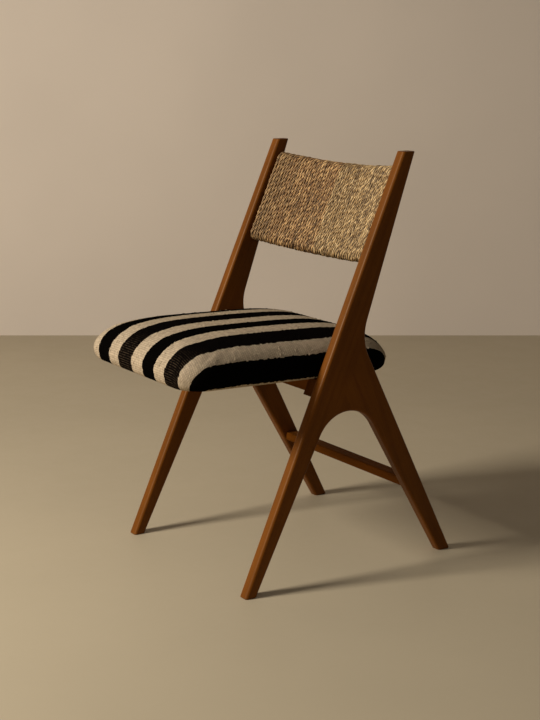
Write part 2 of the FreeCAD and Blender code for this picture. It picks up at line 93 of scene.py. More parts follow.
def grid_faces(rows: int, columns: int, closed: bool = True) -> np.ndarray:
    """Four-cornered faces between the rows of a grid of points, each row going round when closed.

    Args:
        rows: how many rows of points.
        columns: how many points in a row.
        closed: whether the last column joins the first.

    Returns:
        The corner numbers, one face in each line.
    """
    row = np.arange(rows - 1)[:, None] * columns
    column = np.arange(columns if closed else columns - 1)[None, :]
    after = (column + 1) % columns
    corners = [row + column, row + after, row + columns + after, row + columns + column]
    return np.stack(corners, axis=-1).reshape(-1, 4)


def vertex_places(mesh: Mesh) -> np.ndarray:
    """The places of a mesh's corners, one row each."""
    flat = np.empty(len(mesh.vertices) * 3, np.float32)
    mesh.vertices.foreach_get("co", flat)
    return flat.reshape(-1, 3).astype(float)


def vertex_normals(mesh: Mesh) -> np.ndarray:
    """The outward directions at a mesh's corners, one row each."""
    flat = np.empty(len(mesh.vertices) * 3, np.float32)
    mesh.vertex_normals.foreach_get("vector", flat)
    return flat.reshape(-1, 3).astype(float)


def store_vectors(mesh: Mesh, name: str, x: np.ndarray, y: np.ndarray, z: np.ndarray) -> None:
    """Keeps one vector of three numbers for each corner of a mesh, for its material to read."""
    values = np.stack(np.broadcast_arrays(x, y, z), axis=-1).astype(np.float32)
    mesh.attributes.new(name, "FLOAT_VECTOR", "POINT").data.foreach_set("vector", values.ravel())


def move_vertices(mesh: Mesh, places: np.ndarray) -> None:
    """Puts a mesh's corners at new places, one row each."""
    mesh.vertices.foreach_set("co", places.astype(np.float32).ravel())
    mesh.update()


def smooth_noise(seed: int, places: np.ndarray, spacing: float) -> np.ndarray:
    """Seeded random heights at even spacing, joined by an eased curve, from -1 to 1.

    Args:
        seed: picks the random row.
        places: distances at which it is read.
        spacing: distance between two random heights.

    Returns:
        One value for each distance.
    """
    share = (places - places.min()) / spacing
    heights = np.random.default_rng(seed).uniform(-1, 1, int(share.max()) + 3)
    whole = share.astype(int)
    part = share - whole
    eased = part * part * (3 - 2 * part)
    return heights[whole] * (1 - eased) + heights[whole + 1] * eased


# Shader building
class Graph:
    """A node tree that is being filled, with short ways to place and join its nodes."""

    def __init__(self, tree: NodeTree) -> None:
        """Takes the tree to fill."""
        self.tree = tree

    def feed(self, socket: NodeSocket, value: Any) -> None:
        """Joins another socket to this one, or sets its plain value.

        Args:
            socket: the socket that is fed.
            value: the other socket, or the value.
        """
        if isinstance(value, NodeSocket):
            self.tree.links.new(value, socket)
        elif socket.type == "RGBA" and len(value) == 3:
            socket.default_value = (*value, 1.0)
        else:
            socket.default_value = value

    def node(self, kind: str, settings: dict[str, Any], inputs: dict[Any, Any]) -> Node:
        """Places a node.

        Args:
            kind: Blender's name for it.
            settings: its own options.
            inputs: sockets, by name or number, and what feeds each.

        Returns:
            The node.
        """
        made = self.tree.nodes.new(kind)
        for name, value in settings.items():
            setattr(made, name, value)
        for name, value in inputs.items():
            self.feed(made.inputs[name], value)
        return made

    def math(self, operation: str, first: Any, second: Any = 0.0, third: Any = 0.0) -> NodeSocket:
        """A sum on one, two or three numbers."""
        inputs = {0: first, 1: second, 2: third}
        return self.node("ShaderNodeMath", {"operation": operation}, inputs).outputs[0]

    def times(self, first: Any, second: Any) -> NodeSocket:
        """One number times another."""
        return self.math("MULTIPLY", first, second)

    def scaled(self, value: Any, factor: Any, base: Any) -> NodeSocket:
        """A base plus a number times its factor."""
        return self.math("MULTIPLY_ADD", value, factor, base)

    def swing(self, share: Any, size: Any, base: Any) -> NodeSocket:
        """A base moved to either side by a share of 0 to 1, by half the size at most."""
        return self.scaled(self.math("SUBTRACT", share, 0.5), size, base)

    def wave(self, turns: Any) -> NodeSocket:
        """A sine of this many turns, brought into 0 to 1."""
        return self.scaled(self.math("SINE", self.times(turns, 2 * math.pi)), 0.5, 0.5)

    def hump(self, cells: Any) -> NodeSocket:
        """Half a sine over each whole number of cells."""
        return self.math("SINE", self.times(self.math("FRACT", cells), math.pi))

    def stretch(self, vector: Any, factors: Any) -> NodeSocket:
        """A vector with each of its numbers multiplied by its own factor."""
        made = self.node("ShaderNodeVectorMath", {"operation": "MULTIPLY"}, {0: vector, 1: factors})
        return made.outputs["Vector"]

    def dot(self, first: Any, second: Any) -> NodeSocket:
        """How far one vector goes along another."""
        made = self.node("ShaderNodeVectorMath", {"operation": "DOT_PRODUCT"}, {0: first, 1: second})
        return made.outputs["Value"]

    def combine(self, x: Any, y: Any, z: Any) -> NodeSocket:
        """A vector of three numbers."""
        return self.node("ShaderNodeCombineXYZ", {}, {0: x, 1: y, 2: z}).outputs[0]

    def even(self, value: Any) -> NodeSocket:
        """A vector with the same number all ways."""
        return self.combine(value, value, value)

    def split(self, vector: Any) -> list[NodeSocket]:
        """The three numbers of a vector."""
        return list(self.node("ShaderNodeSeparateXYZ", {}, {0: vector}).outputs)

    def noise(self, vector: Any, detail: float = 2.0, roughness: float = 0.5) -> NodeSocket:
        """Smooth random values, one cell for each unit of the vector."""
        inputs = {"Vector": vector, "Scale": 1.0, "Detail": detail, "Roughness": roughness}
        return self.node("ShaderNodeTexNoise", {}, inputs).outputs[0]

    def random(self, vector: Any) -> NodeSocket:
        """One random number for each place, the same each time."""
        return self.node("ShaderNodeTexWhiteNoise", {"noise_dimensions": "3D"}, {"Vector": vector}).outputs[0]

    def span(self, value: Any, low: Any, high: Any, start: Any = 0.0, end: Any = 1.0) -> NodeSocket:
        """Carries a value from one range to another, eased and held at the ends."""
        settings = {"interpolation_type": "SMOOTHSTEP"}
        inputs = {"Value": value, "From Min": low, "From Max": high, "To Min": start, "To Max": end}
        return self.node("ShaderNodeMapRange", settings, inputs).outputs[0]

    def mix(self, share: Any, first: Any, second: Any, blend: str = "MIX") -> NodeSocket:
        """Mixes two colours."""
        settings = {"data_type": "RGBA", "blend_type": blend, "clamp_factor": True}
        return self.node("ShaderNodeMix", settings, {0: share, 6: first, 7: second}).outputs[2]

    def shade(self, colour: Any, factor: Any) -> NodeSocket:
        """Makes a colour darker or lighter by a number round one."""
        return self.stretch(colour, self.even(factor))

    def bump(self, height: Any, distance: float, strength: float = 1.0, under: Any = None) -> NodeSocket:
        """The normal of a surface with this height on it.

        Args:
            height: the height, as a share of the distance.
            distance: how far the highest place stands out, in metres.
            strength: how much of it counts.
            under: the normal below, if it isn't the surface's own.

        Returns:
            The normal.
        """
        inputs = {"Height": height, "Distance": distance, "Strength": strength}
        if under is not None:
            inputs["Normal"] = under
        return self.node("ShaderNodeBump", {}, inputs).outputs[0]

    def group(self, tree: NodeTree, inputs: dict[str, Any]) -> Any:
        """Places a shared group and gives its outputs, by name."""
        return self.node("ShaderNodeGroup", {"node_tree": tree}, inputs).outputs

    def place(self) -> NodeSocket:
        """Where a point is on the object, in metres."""
        return self.node("ShaderNodeTexCoord", {}, {}).outputs["Object"]

    def carried(self, name: str) -> NodeSocket:
        """A vector that the piece's own mesh carries."""
        return self.node("ShaderNodeAttribute", {"attribute_name": name}, {}).outputs["Vector"]

    def surface(self, fact: str) -> NodeSocket:
        """What the surface says of itself, such as its Normal."""
        return self.node("ShaderNodeNewGeometry", {}, {}).outputs[fact]


class Effects:
    """Shader groups that several finishes use, each built once."""

    def __init__(self) -> None:
        """Builds the groups."""
        self.grain = self._grain()
        self.patches = self._patches()
        self.weave = self._weave()
        self.fibres = self._fibres()

    @staticmethod
    def _start(name: str, inputs: dict[str, Any], outputs: Sequence[str]) -> tuple[Graph, Any, Any]:
        """Opens a group with its sockets.

        Args:
            name: the group's name.
            inputs: socket names with their defaults, of which three numbers make a vector socket.
            outputs: socket names, where Vector makes a vector socket and all others give a number.

        Returns:
            The graph to fill, its input sockets and its output sockets.
        """
        tree = bpy.data.node_groups.new(name, "ShaderNodeTree")
        for socket, default in inputs.items():
            kind = VECTOR if isinstance(default, tuple) else FLOAT
            tree.interface.new_socket(socket, in_out="INPUT", socket_type=kind).default_value = default
        for socket in outputs:
            kind = VECTOR if socket == "Vector" else FLOAT
            tree.interface.new_socket(socket, in_out="OUTPUT", socket_type=kind)
        entry = tree.nodes.new("NodeGroupInput")
        leave = tree.nodes.new("NodeGroupOutput")
        return Graph(tree), entry.outputs, leave.inputs

    def _grain(self) -> NodeTree:
        """Wood grain along the vector's Z: growth rings as bands of stretched noise, pores and fibres.

        Returns:
            The group.
        """
        inputs = {"Vector": ORIGIN, "Rings": 9.0, "Across": 14.0, "Stretch": 0.07}
        graph, entry, leave = self._start("wood grain", inputs, ("Rings", "Pores", "Fibres"))
        pore_cells, fibre_cells = (1500.0, 1500.0, 90.0), (480.0, 480.0, 12.0)
        x, y, z = graph.split(entry["Vector"])
        drawn = graph.combine(x, y, graph.times(z, entry["Stretch"]))
        figure = graph.noise(graph.stretch(drawn, graph.even(entry["Across"])), 1.5, 0.45)
        bands = graph.wave(graph.times(figure, entry["Rings"]))
        graph.feed(leave["Rings"], graph.math("POWER", bands, 1.6))
        pores = graph.noise(graph.stretch(entry["Vector"], pore_cells), 1.0)
        graph.feed(leave["Pores"], graph.span(pores, 0.62, 0.74))
        graph.feed(leave["Fibres"], graph.noise(graph.stretch(entry["Vector"], fibre_cells), 4.0, 0.65))
        return graph.tree

    def _patches(self) -> NodeTree:
        """Slow and quick changes of tone over a surface, and the fine dust that lies on what faces up.

        Returns:
            The group.
        """
        inputs = {"Vector": ORIGIN, "Slow": 6.0, "Quick": 60.0, "Facing": (0.0, 0.0, 1.0)}
        graph, entry, leave = self._start("tone patches", inputs, ("Tone", "Speck", "Dust"))
        slow, quick = graph.even(entry["Slow"]), graph.even(entry["Quick"])
        graph.feed(leave["Tone"], graph.noise(graph.stretch(entry["Vector"], slow), 3.0))
        specks = graph.noise(graph.stretch(entry["Vector"], quick), 5.0, 0.7)
        graph.feed(leave["Speck"], specks)
        upward = graph.span(graph.split(entry["Facing"])[2], 0.3, 0.95)
        graph.feed(leave["Dust"], graph.times(upward, graph.span(specks, 0.45, 0.75)))
        return graph.tree

    def _weave(self) -> NodeTree:
        """Plain weave: a rounded cell for each yarn crossing, every other row half a cell on.

        Height is the sine across a cell times the sine along it. Yarn is a random number for each
        row, Knot one for each cell, and Vector the place that the uneven yarns have moved to.

        Returns:
            The group.
        """
        inputs = {"Vector": ORIGIN, "Cell": 0.0044, "Row": 0.0047, "Uneven": 0.0009}
        graph, entry, leave = self._start("weave", inputs, ("Height", "Yarn", "Knot", "Vector"))
        wobble = graph.noise(graph.stretch(entry["Vector"], (110.0, 110.0, 110.0)), 2.0)
        moved = graph.swing(wobble, entry["Uneven"], 0.0)
        across, along, _ = graph.split(entry["Vector"])
        across = graph.scaled(moved, 2.0, across)
        along = graph.math("ADD", moved, along)
        graph.feed(leave["Vector"], graph.combine(across, along, 0.0))
        rows = graph.math("DIVIDE", along, entry["Row"])
        row = graph.math("FLOOR", rows)
        half = graph.times(graph.math("PINGPONG", row, 1.0), 0.5)
        cells = graph.math("ADD", graph.math("DIVIDE", across, entry["Cell"]), half)
        cell = graph.math("FLOOR", cells)
        height = graph.math("POWER", graph.times(graph.hump(cells), graph.hump(rows)), 0.6)
        graph.feed(leave["Yarn"], graph.random(graph.combine(0.0, row, 3.0)))
        knot = graph.random(graph.combine(cell, row, 7.0))
        graph.feed(leave["Knot"], knot)
        graph.feed(leave["Height"], graph.times(height, graph.scaled(knot, 0.5, 0.6)))
        return graph.tree

    def _fibres(self) -> NodeTree:
        """Grass or yarn fibres drawn out along the vector's Z: light and dark ones, and their height.

        Returns:
            The group.
        """
        inputs = {"Vector": ORIGIN, "Fine": 2600.0, "Long": 90.0}
        graph, entry, leave = self._start("fibres", inputs, ("Light", "Dark", "Height"))
        scale = graph.combine(entry["Fine"], entry["Fine"], entry["Long"])
        drawn = graph.noise(graph.stretch(entry["Vector"], scale), 3.0, 0.6)
        graph.feed(leave["Light"], graph.span(drawn, 0.5, 0.72))
        graph.feed(leave["Dark"], graph.span(drawn, 0.46, 0.3))
        graph.feed(leave["Height"], drawn)
        return graph.tree


# Finishes
class Finish:
    """What every finish does: it opens a material, fills it and closes it with one Principled shader."""

    name: str

    def inputs(self, graph: Graph, effects: Effects) -> dict[str, Any]:
        """What feeds the shader, by socket name, which each finish works out in its own way."""
        raise NotImplementedError(self.name)

    def seen(self, graph: Graph, shader: NodeSocket) -> NodeSocket:
        """What the surface shows, which is its shader."""
        return shader

    def material(self, effects: Effects) -> Material:
        """Makes the material.

        Args:
            effects: the shared shader groups.

        Returns:
            The material.
        """
        made = bpy.data.materials.new(self.name)
        made.use_nodes = True
        made.node_tree.nodes.clear()
        graph = Graph(made.node_tree)
        shader = graph.node("ShaderNodeBsdfPrincipled", {}, self.inputs(graph, effects)).outputs[0]
        graph.node("ShaderNodeOutputMaterial", {}, {"Surface": self.seen(graph, shader)})
        return made


@dataclass(frozen=True)
class OiledWood(Finish):
    """Solid wood with a satin oil finish, its grain running along one direction."""

    name: str
    along: Triple
    across: Triple
    light: Colour = srgb(122, 70, 14)
    dark: Colour = srgb(84, 43, 6)
    end_grain: Colour = srgb(52, 26, 6)
    roughness: float = 0.42
    uneven_gloss: float = 0.12
    dust_gloss: float = 0.08
    shine: float = 0.2
    shine_tint: Colour = (1.0, 0.76, 0.5)
    rings: float = 9.0
    ground: float = 0.15
    ring_depth: float = 0.22
    fibre_depth: float = 0.6
    pore_depth: float = 0.55
    end_depth: float = 0.75
    relief: float = 0.00006

    def inputs(self, graph: Graph, effects: Effects) -> dict[str, Any]:
        """Grain by rings, fibres and pores, darker where the board is cut across.

        Args:
            graph: the material's graph.
            effects: the shared shader groups.

        Returns:
            What feeds the shader, by socket name.
        """
        place = graph.place()
        third = tuple(np.cross(self.along, self.across))
        board = graph.combine(*(graph.dot(place, way) for way in (self.across, third, self.along)))
        grain = graph.group(effects.grain, {"Vector": board, "Rings": self.rings})
        facing = graph.surface("Normal")
        patches = graph.group(effects.patches, {"Vector": place, "Slow": 7.0, "Quick": 40.0,
                                                "Facing": facing})
        figure = graph.scaled(grain["Rings"], self.ring_depth, self.ground)
        figure = graph.scaled(grain["Fibres"], self.fibre_depth, figure)
        colour = graph.mix(figure, self.light, self.dark)
        colour = graph.mix(graph.times(grain["Pores"], self.pore_depth), colour, self.end_grain)
        cut = graph.math("ABSOLUTE", graph.dot(facing, self.along))
        colour = graph.mix(graph.span(cut, 0.8, 0.97, 0.0, self.end_depth), colour, self.end_grain)
        colour = graph.shade(colour, graph.span(patches["Tone"], 0.2, 0.8, 0.86, 1.14))
        height = graph.math("SUBTRACT", grain["Fibres"], grain["Pores"])
        rough = graph.scaled(grain["Fibres"], self.uneven_gloss, self.roughness - self.uneven_gloss / 2)
        rough = graph.scaled(patches["Dust"], self.dust_gloss, rough)
        return {"Base Color": colour, "Roughness": rough, "Specular IOR Level": self.shine,
                "Specular Tint": self.shine_tint, "Normal": graph.bump(height, self.relief, 0.8)}


@dataclass(frozen=True)
class BareWood(Finish):
    """Unfinished pale wood of dowels and plies, its grain along X."""

    name: str
    light: Colour = srgb(205, 172, 128)
    dark: Colour = srgb(164, 124, 80)
    ply: float = 0.0
    relief: float = 0.0001

    def inputs(self, graph: Graph, effects: Effects) -> dict[str, Any]:
        """Straight grain, with darker glued plies at even heights where ply is set.

        Args:
            graph: the material's graph.
            effects: the shared shader groups.

        Returns:
            What feeds the shader, by socket name.
        """
        x, y, z = graph.split(graph.place())
        grain = graph.group(effects.grain, {"Vector": graph.combine(y, z, x), "Rings": 5.0})
        colour = graph.mix(graph.times(grain["Fibres"], grain["Rings"]), self.light, self.dark)
        if self.ply:
            layer = graph.math("DIVIDE", graph.math("PINGPONG", z, self.ply), self.ply)
            colour = graph.mix(graph.span(layer, 0.35, 0.65, 0.0, 0.6), colour, self.dark)
        colour = graph.mix(graph.times(grain["Pores"], 0.4), colour, self.dark)
        return {"Base Color": colour, "Roughness": 0.68,
                "Normal": graph.bump(grain["Fibres"], self.relief, 0.6)}


@dataclass(frozen=True)
class ScrewSteel(Finish):
    """Zinc-plated steel of the screws."""

    name: str
    colour: Colour = srgb(176, 174, 168)
    relief: float = 0.00003

    def inputs(self, graph: Graph, effects: Effects) -> dict[str, Any]:
        """A bright metal, duller in patches.

        Args:
            graph: the material's graph.
            effects: the shared shader groups.

        Returns:
            What feeds the shader, by socket name.
        """
        patches = graph.group(effects.patches, {"Vector": graph.place(), "Slow": 160.0, "Quick": 900.0})
        colour = graph.shade(self.colour, graph.span(patches["Tone"], 0.3, 0.7, 0.8, 1.05))
        rough = graph.span(patches["Speck"], 0.3, 0.7, 0.28, 0.46)
        return {"Base Color": colour, "Roughness": rough, "Metallic": 1.0,
                "Normal": graph.bump(patches["Speck"], self.relief, 0.5)}


@dataclass(frozen=True)
class SeatFoam(Finish):
    """Cream upholstery foam, open-celled."""

    name: str
    colour: Colour = srgb(226, 208, 160)
    relief: float = 0.0005

    def inputs(self, graph: Graph, effects: Effects) -> dict[str, Any]:
        """Pale foam with small dark cells.

        Args:
            graph: the material's graph.
            effects: the shared shader groups.

        Returns:
            What feeds the shader, by socket name.
        """
        patches = graph.group(effects.patches, {"Vector": graph.place(), "Slow": 12.0, "Quick": 700.0})
        colour = graph.shade(self.colour, graph.span(patches["Speck"], 0.35, 0.6, 0.72, 1.04))
        return {"Base Color": colour, "Roughness": 0.95,
                "Normal": graph.bump(patches["Speck"], self.relief, 0.8)}


class Stripe(Enum):
    """The yarns that the seat cloth is woven of, each with its colour."""

    CREAM = srgb(173, 155, 130)
    BLACK = srgb(6, 5, 4)
    RIBBED = srgb(11, 8, 7)


@dataclass(frozen=True)
class StripedCloth(Finish):
    """Handwoven wool cloth in cream and black stripes, some of the black ones ribbed."""

    name: str
    edges: tuple[float, ...] = (-0.192, -0.140, -0.096, -0.057, -0.007, 0.037, 0.082, 0.118, 0.166, 0.201,
                                0.248)
    yarns: tuple[Stripe, ...] = (Stripe.BLACK, Stripe.CREAM, Stripe.BLACK, Stripe.CREAM, Stripe.RIBBED,
                                 Stripe.CREAM, Stripe.BLACK, Stripe.CREAM, Stripe.RIBBED, Stripe.CREAM,
                                 Stripe.BLACK, Stripe.CREAM)
    width: float = 0.6
    drift: float = 0.0045
    drift_cells: Triple = (9.0, 22.0, 1.0)
    jag: float = 0.0022
    rib: float = 0.0048
    rib_sharpness: float = 6.0
    rib_relief: float = 1.4
    relief: float = 0.0009
    # painted glint: a lighter colour laid on the rib crests where the lamp's highlight falls, and the heights
    # over which it fades out
    painted_glint: Colour = srgb(74, 61, 46)
    painted_glint_heights: tuple[float, float] = (0.04, 0.076)
    fuzz: Colour = srgb(230, 214, 184)
    fuzz_on_cream: float = 0.14
    fuzz_on_black: float = 0.003

    def _ramp(self, graph: Graph, across: Any, values: list[Colour]) -> NodeSocket:
        """Steps from one colour to the next at each stripe's edge.

        Args:
            graph: the material being filled.
            across: the cloth's coordinate across the stripes.
            values: one colour for each stripe.

        Returns:
            The stepped colour.
        """
        share = graph.scaled(across, 1 / self.width, 0.5)
        made = graph.node("ShaderNodeValToRGB", {}, {"Fac": share})
        made.color_ramp.interpolation = "CONSTANT"
        stops = made.color_ramp.elements
        stops[0].color = (*values[0], 1)
        stops[1].position = self.edges[0] / self.width + 0.5
        stops[1].color = (*values[1], 1)
        for edge, value in zip(self.edges[1:], values[2:]):
            stop = stops.new(edge / self.width + 0.5)
            stop.color = (*value, 1)
        return made.outputs[0]

    def _mask(self, graph: Graph, across: Any, chosen: Sequence[Stripe]) -> NodeSocket:
        """One where the stripe is of a chosen yarn, and nought elsewhere."""
        values = [(float(yarn in chosen),) * 3 for yarn in self.yarns]
        return graph.split(self._ramp(graph, across, values))[0]

    def inputs(self, graph: Graph, effects: Effects) -> dict[str, Any]:
        """Stripes that step from row to row, each yarn a little lighter or darker, with loose fibres and
        painted shade in the gaps of the weave.

        A painted glint lightens the rib crests on the sides below the crown, fading out over the top.

        Args:
            graph: the material's graph.
            effects: the shared shader groups.

        Returns:
            What feeds the shader, by socket name.
        """
        cloth = graph.carried("cloth")
        height = graph.split(cloth)[2]
        weave = graph.group(effects.weave, {"Vector": cloth})
        across, along, _ = graph.split(weave["Vector"])
        drift = graph.noise(graph.stretch(cloth, self.drift_cells), 2.0)
        across = graph.swing(drift, self.drift, across)
        across = graph.swing(weave["Yarn"], self.jag, across)
        colour = self._ramp(graph, across, [yarn.value for yarn in self.yarns])
        ribbed = self._mask(graph, across, (Stripe.RIBBED,))
        dark = self._mask(graph, across, (Stripe.RIBBED, Stripe.BLACK))
        rib = graph.wave(graph.math("DIVIDE", along, self.rib))
        fibres = graph.group(effects.fibres, {"Vector": graph.place(), "Fine": 1500.0, "Long": 1500.0})
        yarn = graph.span(weave["Yarn"], 0.0, 1.0, 0.95, 1.04)
        knot = graph.span(weave["Knot"], 0.0, 1.0, 0.88, 1.06)
        # painted shade: the colour darkens in the gaps between the weave's yarn cells
        painted_gap_shade = graph.span(weave["Height"], 0.1, 0.55, 0.66, 1.03)
        colour = graph.shade(colour, graph.times(graph.times(yarn, knot), painted_gap_shade))
        # painted glint: the ribbed stripes' crests take a lighter colour, faded out towards the top of the
        # crown
        painted_glint = graph.times(ribbed, graph.math("POWER", rib, self.rib_sharpness))
        painted_glint = graph.times(painted_glint, graph.span(weave["Knot"], 0.15, 0.8, 0.1, 0.85))
        low, high = self.painted_glint_heights
        painted_glint = graph.times(painted_glint, graph.span(height, high, low))
        colour = graph.mix(painted_glint, colour, self.painted_glint)
        fuzz = graph.scaled(dark, self.fuzz_on_black - self.fuzz_on_cream, self.fuzz_on_cream)
        colour = graph.mix(graph.times(fibres["Light"], fuzz), colour, self.fuzz, "SCREEN")
        relief = graph.scaled(graph.times(rib, ribbed), self.rib_relief, weave["Height"])
        relief = graph.scaled(fibres["Height"], 0.5, relief)
        return {"Base Color": colour, "Roughness": graph.scaled(dark, -0.1, 0.95),
                "Specular IOR Level": 0.0, "Normal": graph.bump(relief, self.relief, 0.7)}


@dataclass(frozen=True)
class LiningCloth(Finish):
    """Thin black lining under the seat."""

    name: str
    colour: Colour = srgb(26, 25, 24)
    dust: Colour = srgb(140, 130, 118)
    yarn: float = 0.0009
    relief: float = 0.0002

    def inputs(self, graph: Graph, effects: Effects) -> dict[str, Any]:
        """Fine plain weave with painted shade in its gaps and painted light on its crests, a little dusty.

        Args:
            graph: the material's graph.
            effects: the shared shader groups.

        Returns:
            What feeds the shader, by socket name.
        """
        place = graph.place()
        weave = graph.group(effects.weave, {"Vector": place, "Cell": self.yarn, "Row": self.yarn,
                                            "Uneven": 0.0002})
        patches = graph.group(effects.patches, {"Vector": place, "Slow": 9.0, "Quick": 120.0})
        # painted shade and light: darker in the weave's gaps and lighter on its crests
        colour = graph.shade(self.colour, graph.span(weave["Height"], 0.1, 0.8, 0.6, 1.5))
        colour = graph.mix(graph.span(patches["Speck"], 0.55, 0.8, 0.0, 0.12), colour, self.dust)
        return {"Base Color": colour, "Roughness": 0.9, "Specular IOR Level": 0.25,
                "Normal": graph.bump(weave["Height"], self.relief, 0.7)}


@dataclass(frozen=True)
class GrassCord(Finish):
    """Twisted seagrass cord: fibres along each strand, painted shade in the grooves of the lay and painted
    light on the crests, with paler and browner lengths.
    """

    name: str
    base: Colour
    pale: Colour
    brown: Colour
    grey_tone: Colour
    greying: float = 0.0
    greying_from: float = -0.06
    greying_to: float = -0.2
    greying_by_tone: float = 0.06
    strand_depth: float = 0.7
    blade_depth: float = 0.9
    pale_fibres: float = 0.5
    brown_fibres: float = 0.6
    relief: float = 0.0005

    def inputs(self, graph: Graph, effects: Effects) -> dict[str, Any]:
        """Reads the cord's own lay: fibres along the strands, painted shade in the grooves between them, tone
        along the length.

        Blades are broad marks and fibres fine ones. The cord turns greyer towards one side of the back.

        Args:
            graph: the material's graph.
            effects: the shared shader groups.

        Returns:
            What feeds the shader, by socket name.
        """
        lay = graph.carried("lay")
        depth, tone, strand = graph.split(graph.carried("cord"))
        fibres = graph.group(effects.fibres, {"Vector": lay})
        blades = graph.group(effects.fibres, {"Vector": lay, "Fine": 1000.0, "Long": 240.0})
        colour = graph.mix(graph.span(tone, 0.1, 0.5), self.brown, self.base)
        colour = graph.mix(graph.span(tone, 0.55, 0.95), colour, self.pale)
        colour = graph.mix(graph.span(strand, 0.55, 0.95, 0.0, self.strand_depth), colour, self.brown)
        colour = graph.mix(graph.span(strand, 0.4, 0.05, 0.0, self.strand_depth), colour, self.pale)
        # greyer towards negative X: mixes towards the grey tone between two places across, moved a little by
        # the tone
        across = graph.split(graph.place())[0]
        across = graph.scaled(tone, self.greying_by_tone, across)
        greyer = graph.span(across, self.greying_from, self.greying_to, 0.0, self.greying)
        colour = graph.mix(greyer, colour, self.grey_tone)
        marks = ((blades["Light"], self.blade_depth, self.pale),
                 (blades["Dark"], self.blade_depth, self.brown),
                 (fibres["Light"], self.pale_fibres, self.pale),
                 (fibres["Dark"], self.brown_fibres, self.brown))
        for mark, share, shade in marks:
            colour = graph.mix(graph.times(mark, share), colour, shade)
        # painted shade and light: darkest in the grooves between strands, lighter than the base on their
        # crests
        colour = graph.shade(colour, graph.span(depth, 0.52, 0.98, 0.0, 1.38))
        return {"Base Color": colour, "Roughness": 0.72, "Specular IOR Level": 0.35,
                "Normal": graph.bump(fibres["Height"], self.relief, 0.9)}


def dress_node(node: str, material: Material) -> None:
    """Gives a CAD node its finish through its material slots."""
    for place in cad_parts[node].material_slots:
        place.material = material
    LOG.info("%s is finished in %s", node, material.name)


# The chair's slope, shared by the frames and the back
@dataclass(frozen=True)
class Slope:
    """The rake of the uprights: along it, in from the front edge, and across the chair."""

    setback: float = 0.3658
    height: float = 0.820
    toe: float = -0.19644

    def along(self) -> np.ndarray:
        """The direction up the slope."""
        return np.array([0.0, self.setback, self.height]) / math.hypot(self.setback, self.height)

    def inwards(self) -> np.ndarray:
        """The direction in from the front edge, square to the slope."""
        return np.array([0.0, self.height, -self.setback]) / math.hypot(self.setback, self.height)

    def points(self, across: np.ndarray, inwards: np.ndarray, up: np.ndarray) -> np.ndarray:
        """Places given by their distances across, in and up the slope.

        Args:
            across: distances from the chair's middle.
            inwards: distances in from the uprights' front edge.
            up: distances up the slope from the toe.

        Returns:
            The places, one row each.
        """
        x = np.array([1.0, 0.0, 0.0])
        start = np.array([0.0, self.toe, 0.0])
        return start + across[:, None] * x + inwards[:, None] * self.inwards() + up[:, None] * self.along()


@dataclass
class TimberFrame:
    """The two A-shaped side frames, the stretcher, the rails and their fixings."""

    slope: Slope = Slope()
    rear_leg_lean: Triple = (0.0, -0.405, 0.914)
    rail_roughness: float = 0.72
    rail_shine: float = 0.05

    def dress(self, effects: Effects) -> None:
        """Gives each board its wood with the grain along it, and the fixings their finish.

        Args:
            effects: the shared shader groups.
        """
        slope = tuple(self.slope.along())
        inwards = tuple(self.slope.inwards())
        lean = tuple(np.array(self.rear_leg_lean) / np.linalg.norm(self.rear_leg_lean))
        sideways, backwards = (1.0, 0.0, 0.0), (0.0, 1.0, 0.0)
        duller = {"roughness": self.rail_roughness, "shine": self.rail_shine}
        upright = OiledWood("frame_wood_upright", slope, inwards).material(effects)
        leg = OiledWood("frame_wood_leg", lean, sideways).material(effects)
        level = OiledWood("frame_wood_level", sideways, inwards, **duller).material(effects)
        deep = OiledWood("frame_wood_deep", backwards, sideways, **duller).material(effects)
        dowel = BareWood("dowel_finish").material(effects)
        steel = ScrewSteel("screw_finish").material(effects)
        finishes = {"left_upright": upright, "right_upright": upright, "left_rear_leg": leg,
                    "right_rear_leg": leg, "lower_stretcher": level, "front_seat_rail": level,
                    "rear_seat_rail": level, "back_top_rail": level, "back_bottom_rail": level,
                    "left_seat_bearer": deep, "right_seat_bearer": deep, "left_frame_dowels": dowel,
                    "right_frame_dowels": dowel, "seat_rail_dowels": dowel, "bearer_screws": steel,
                    "seat_screws": steel}
        for node, material in finishes.items():
            dress_node(node, material)


# Wound back
@dataclass(frozen=True)
class Wave:
    """An unevenness along a cord: the seeded row that it reads, how much it is and over what length."""

    row: int
    much: float
    over: float

    def at(self, length: np.ndarray, seed: int, strand: int = 0) -> np.ndarray:
        """Its value at distances along a cord with its own seed, and for a strand where each has its own."""
        return self.much * smooth_noise(seed + self.row + strand, length, self.over)


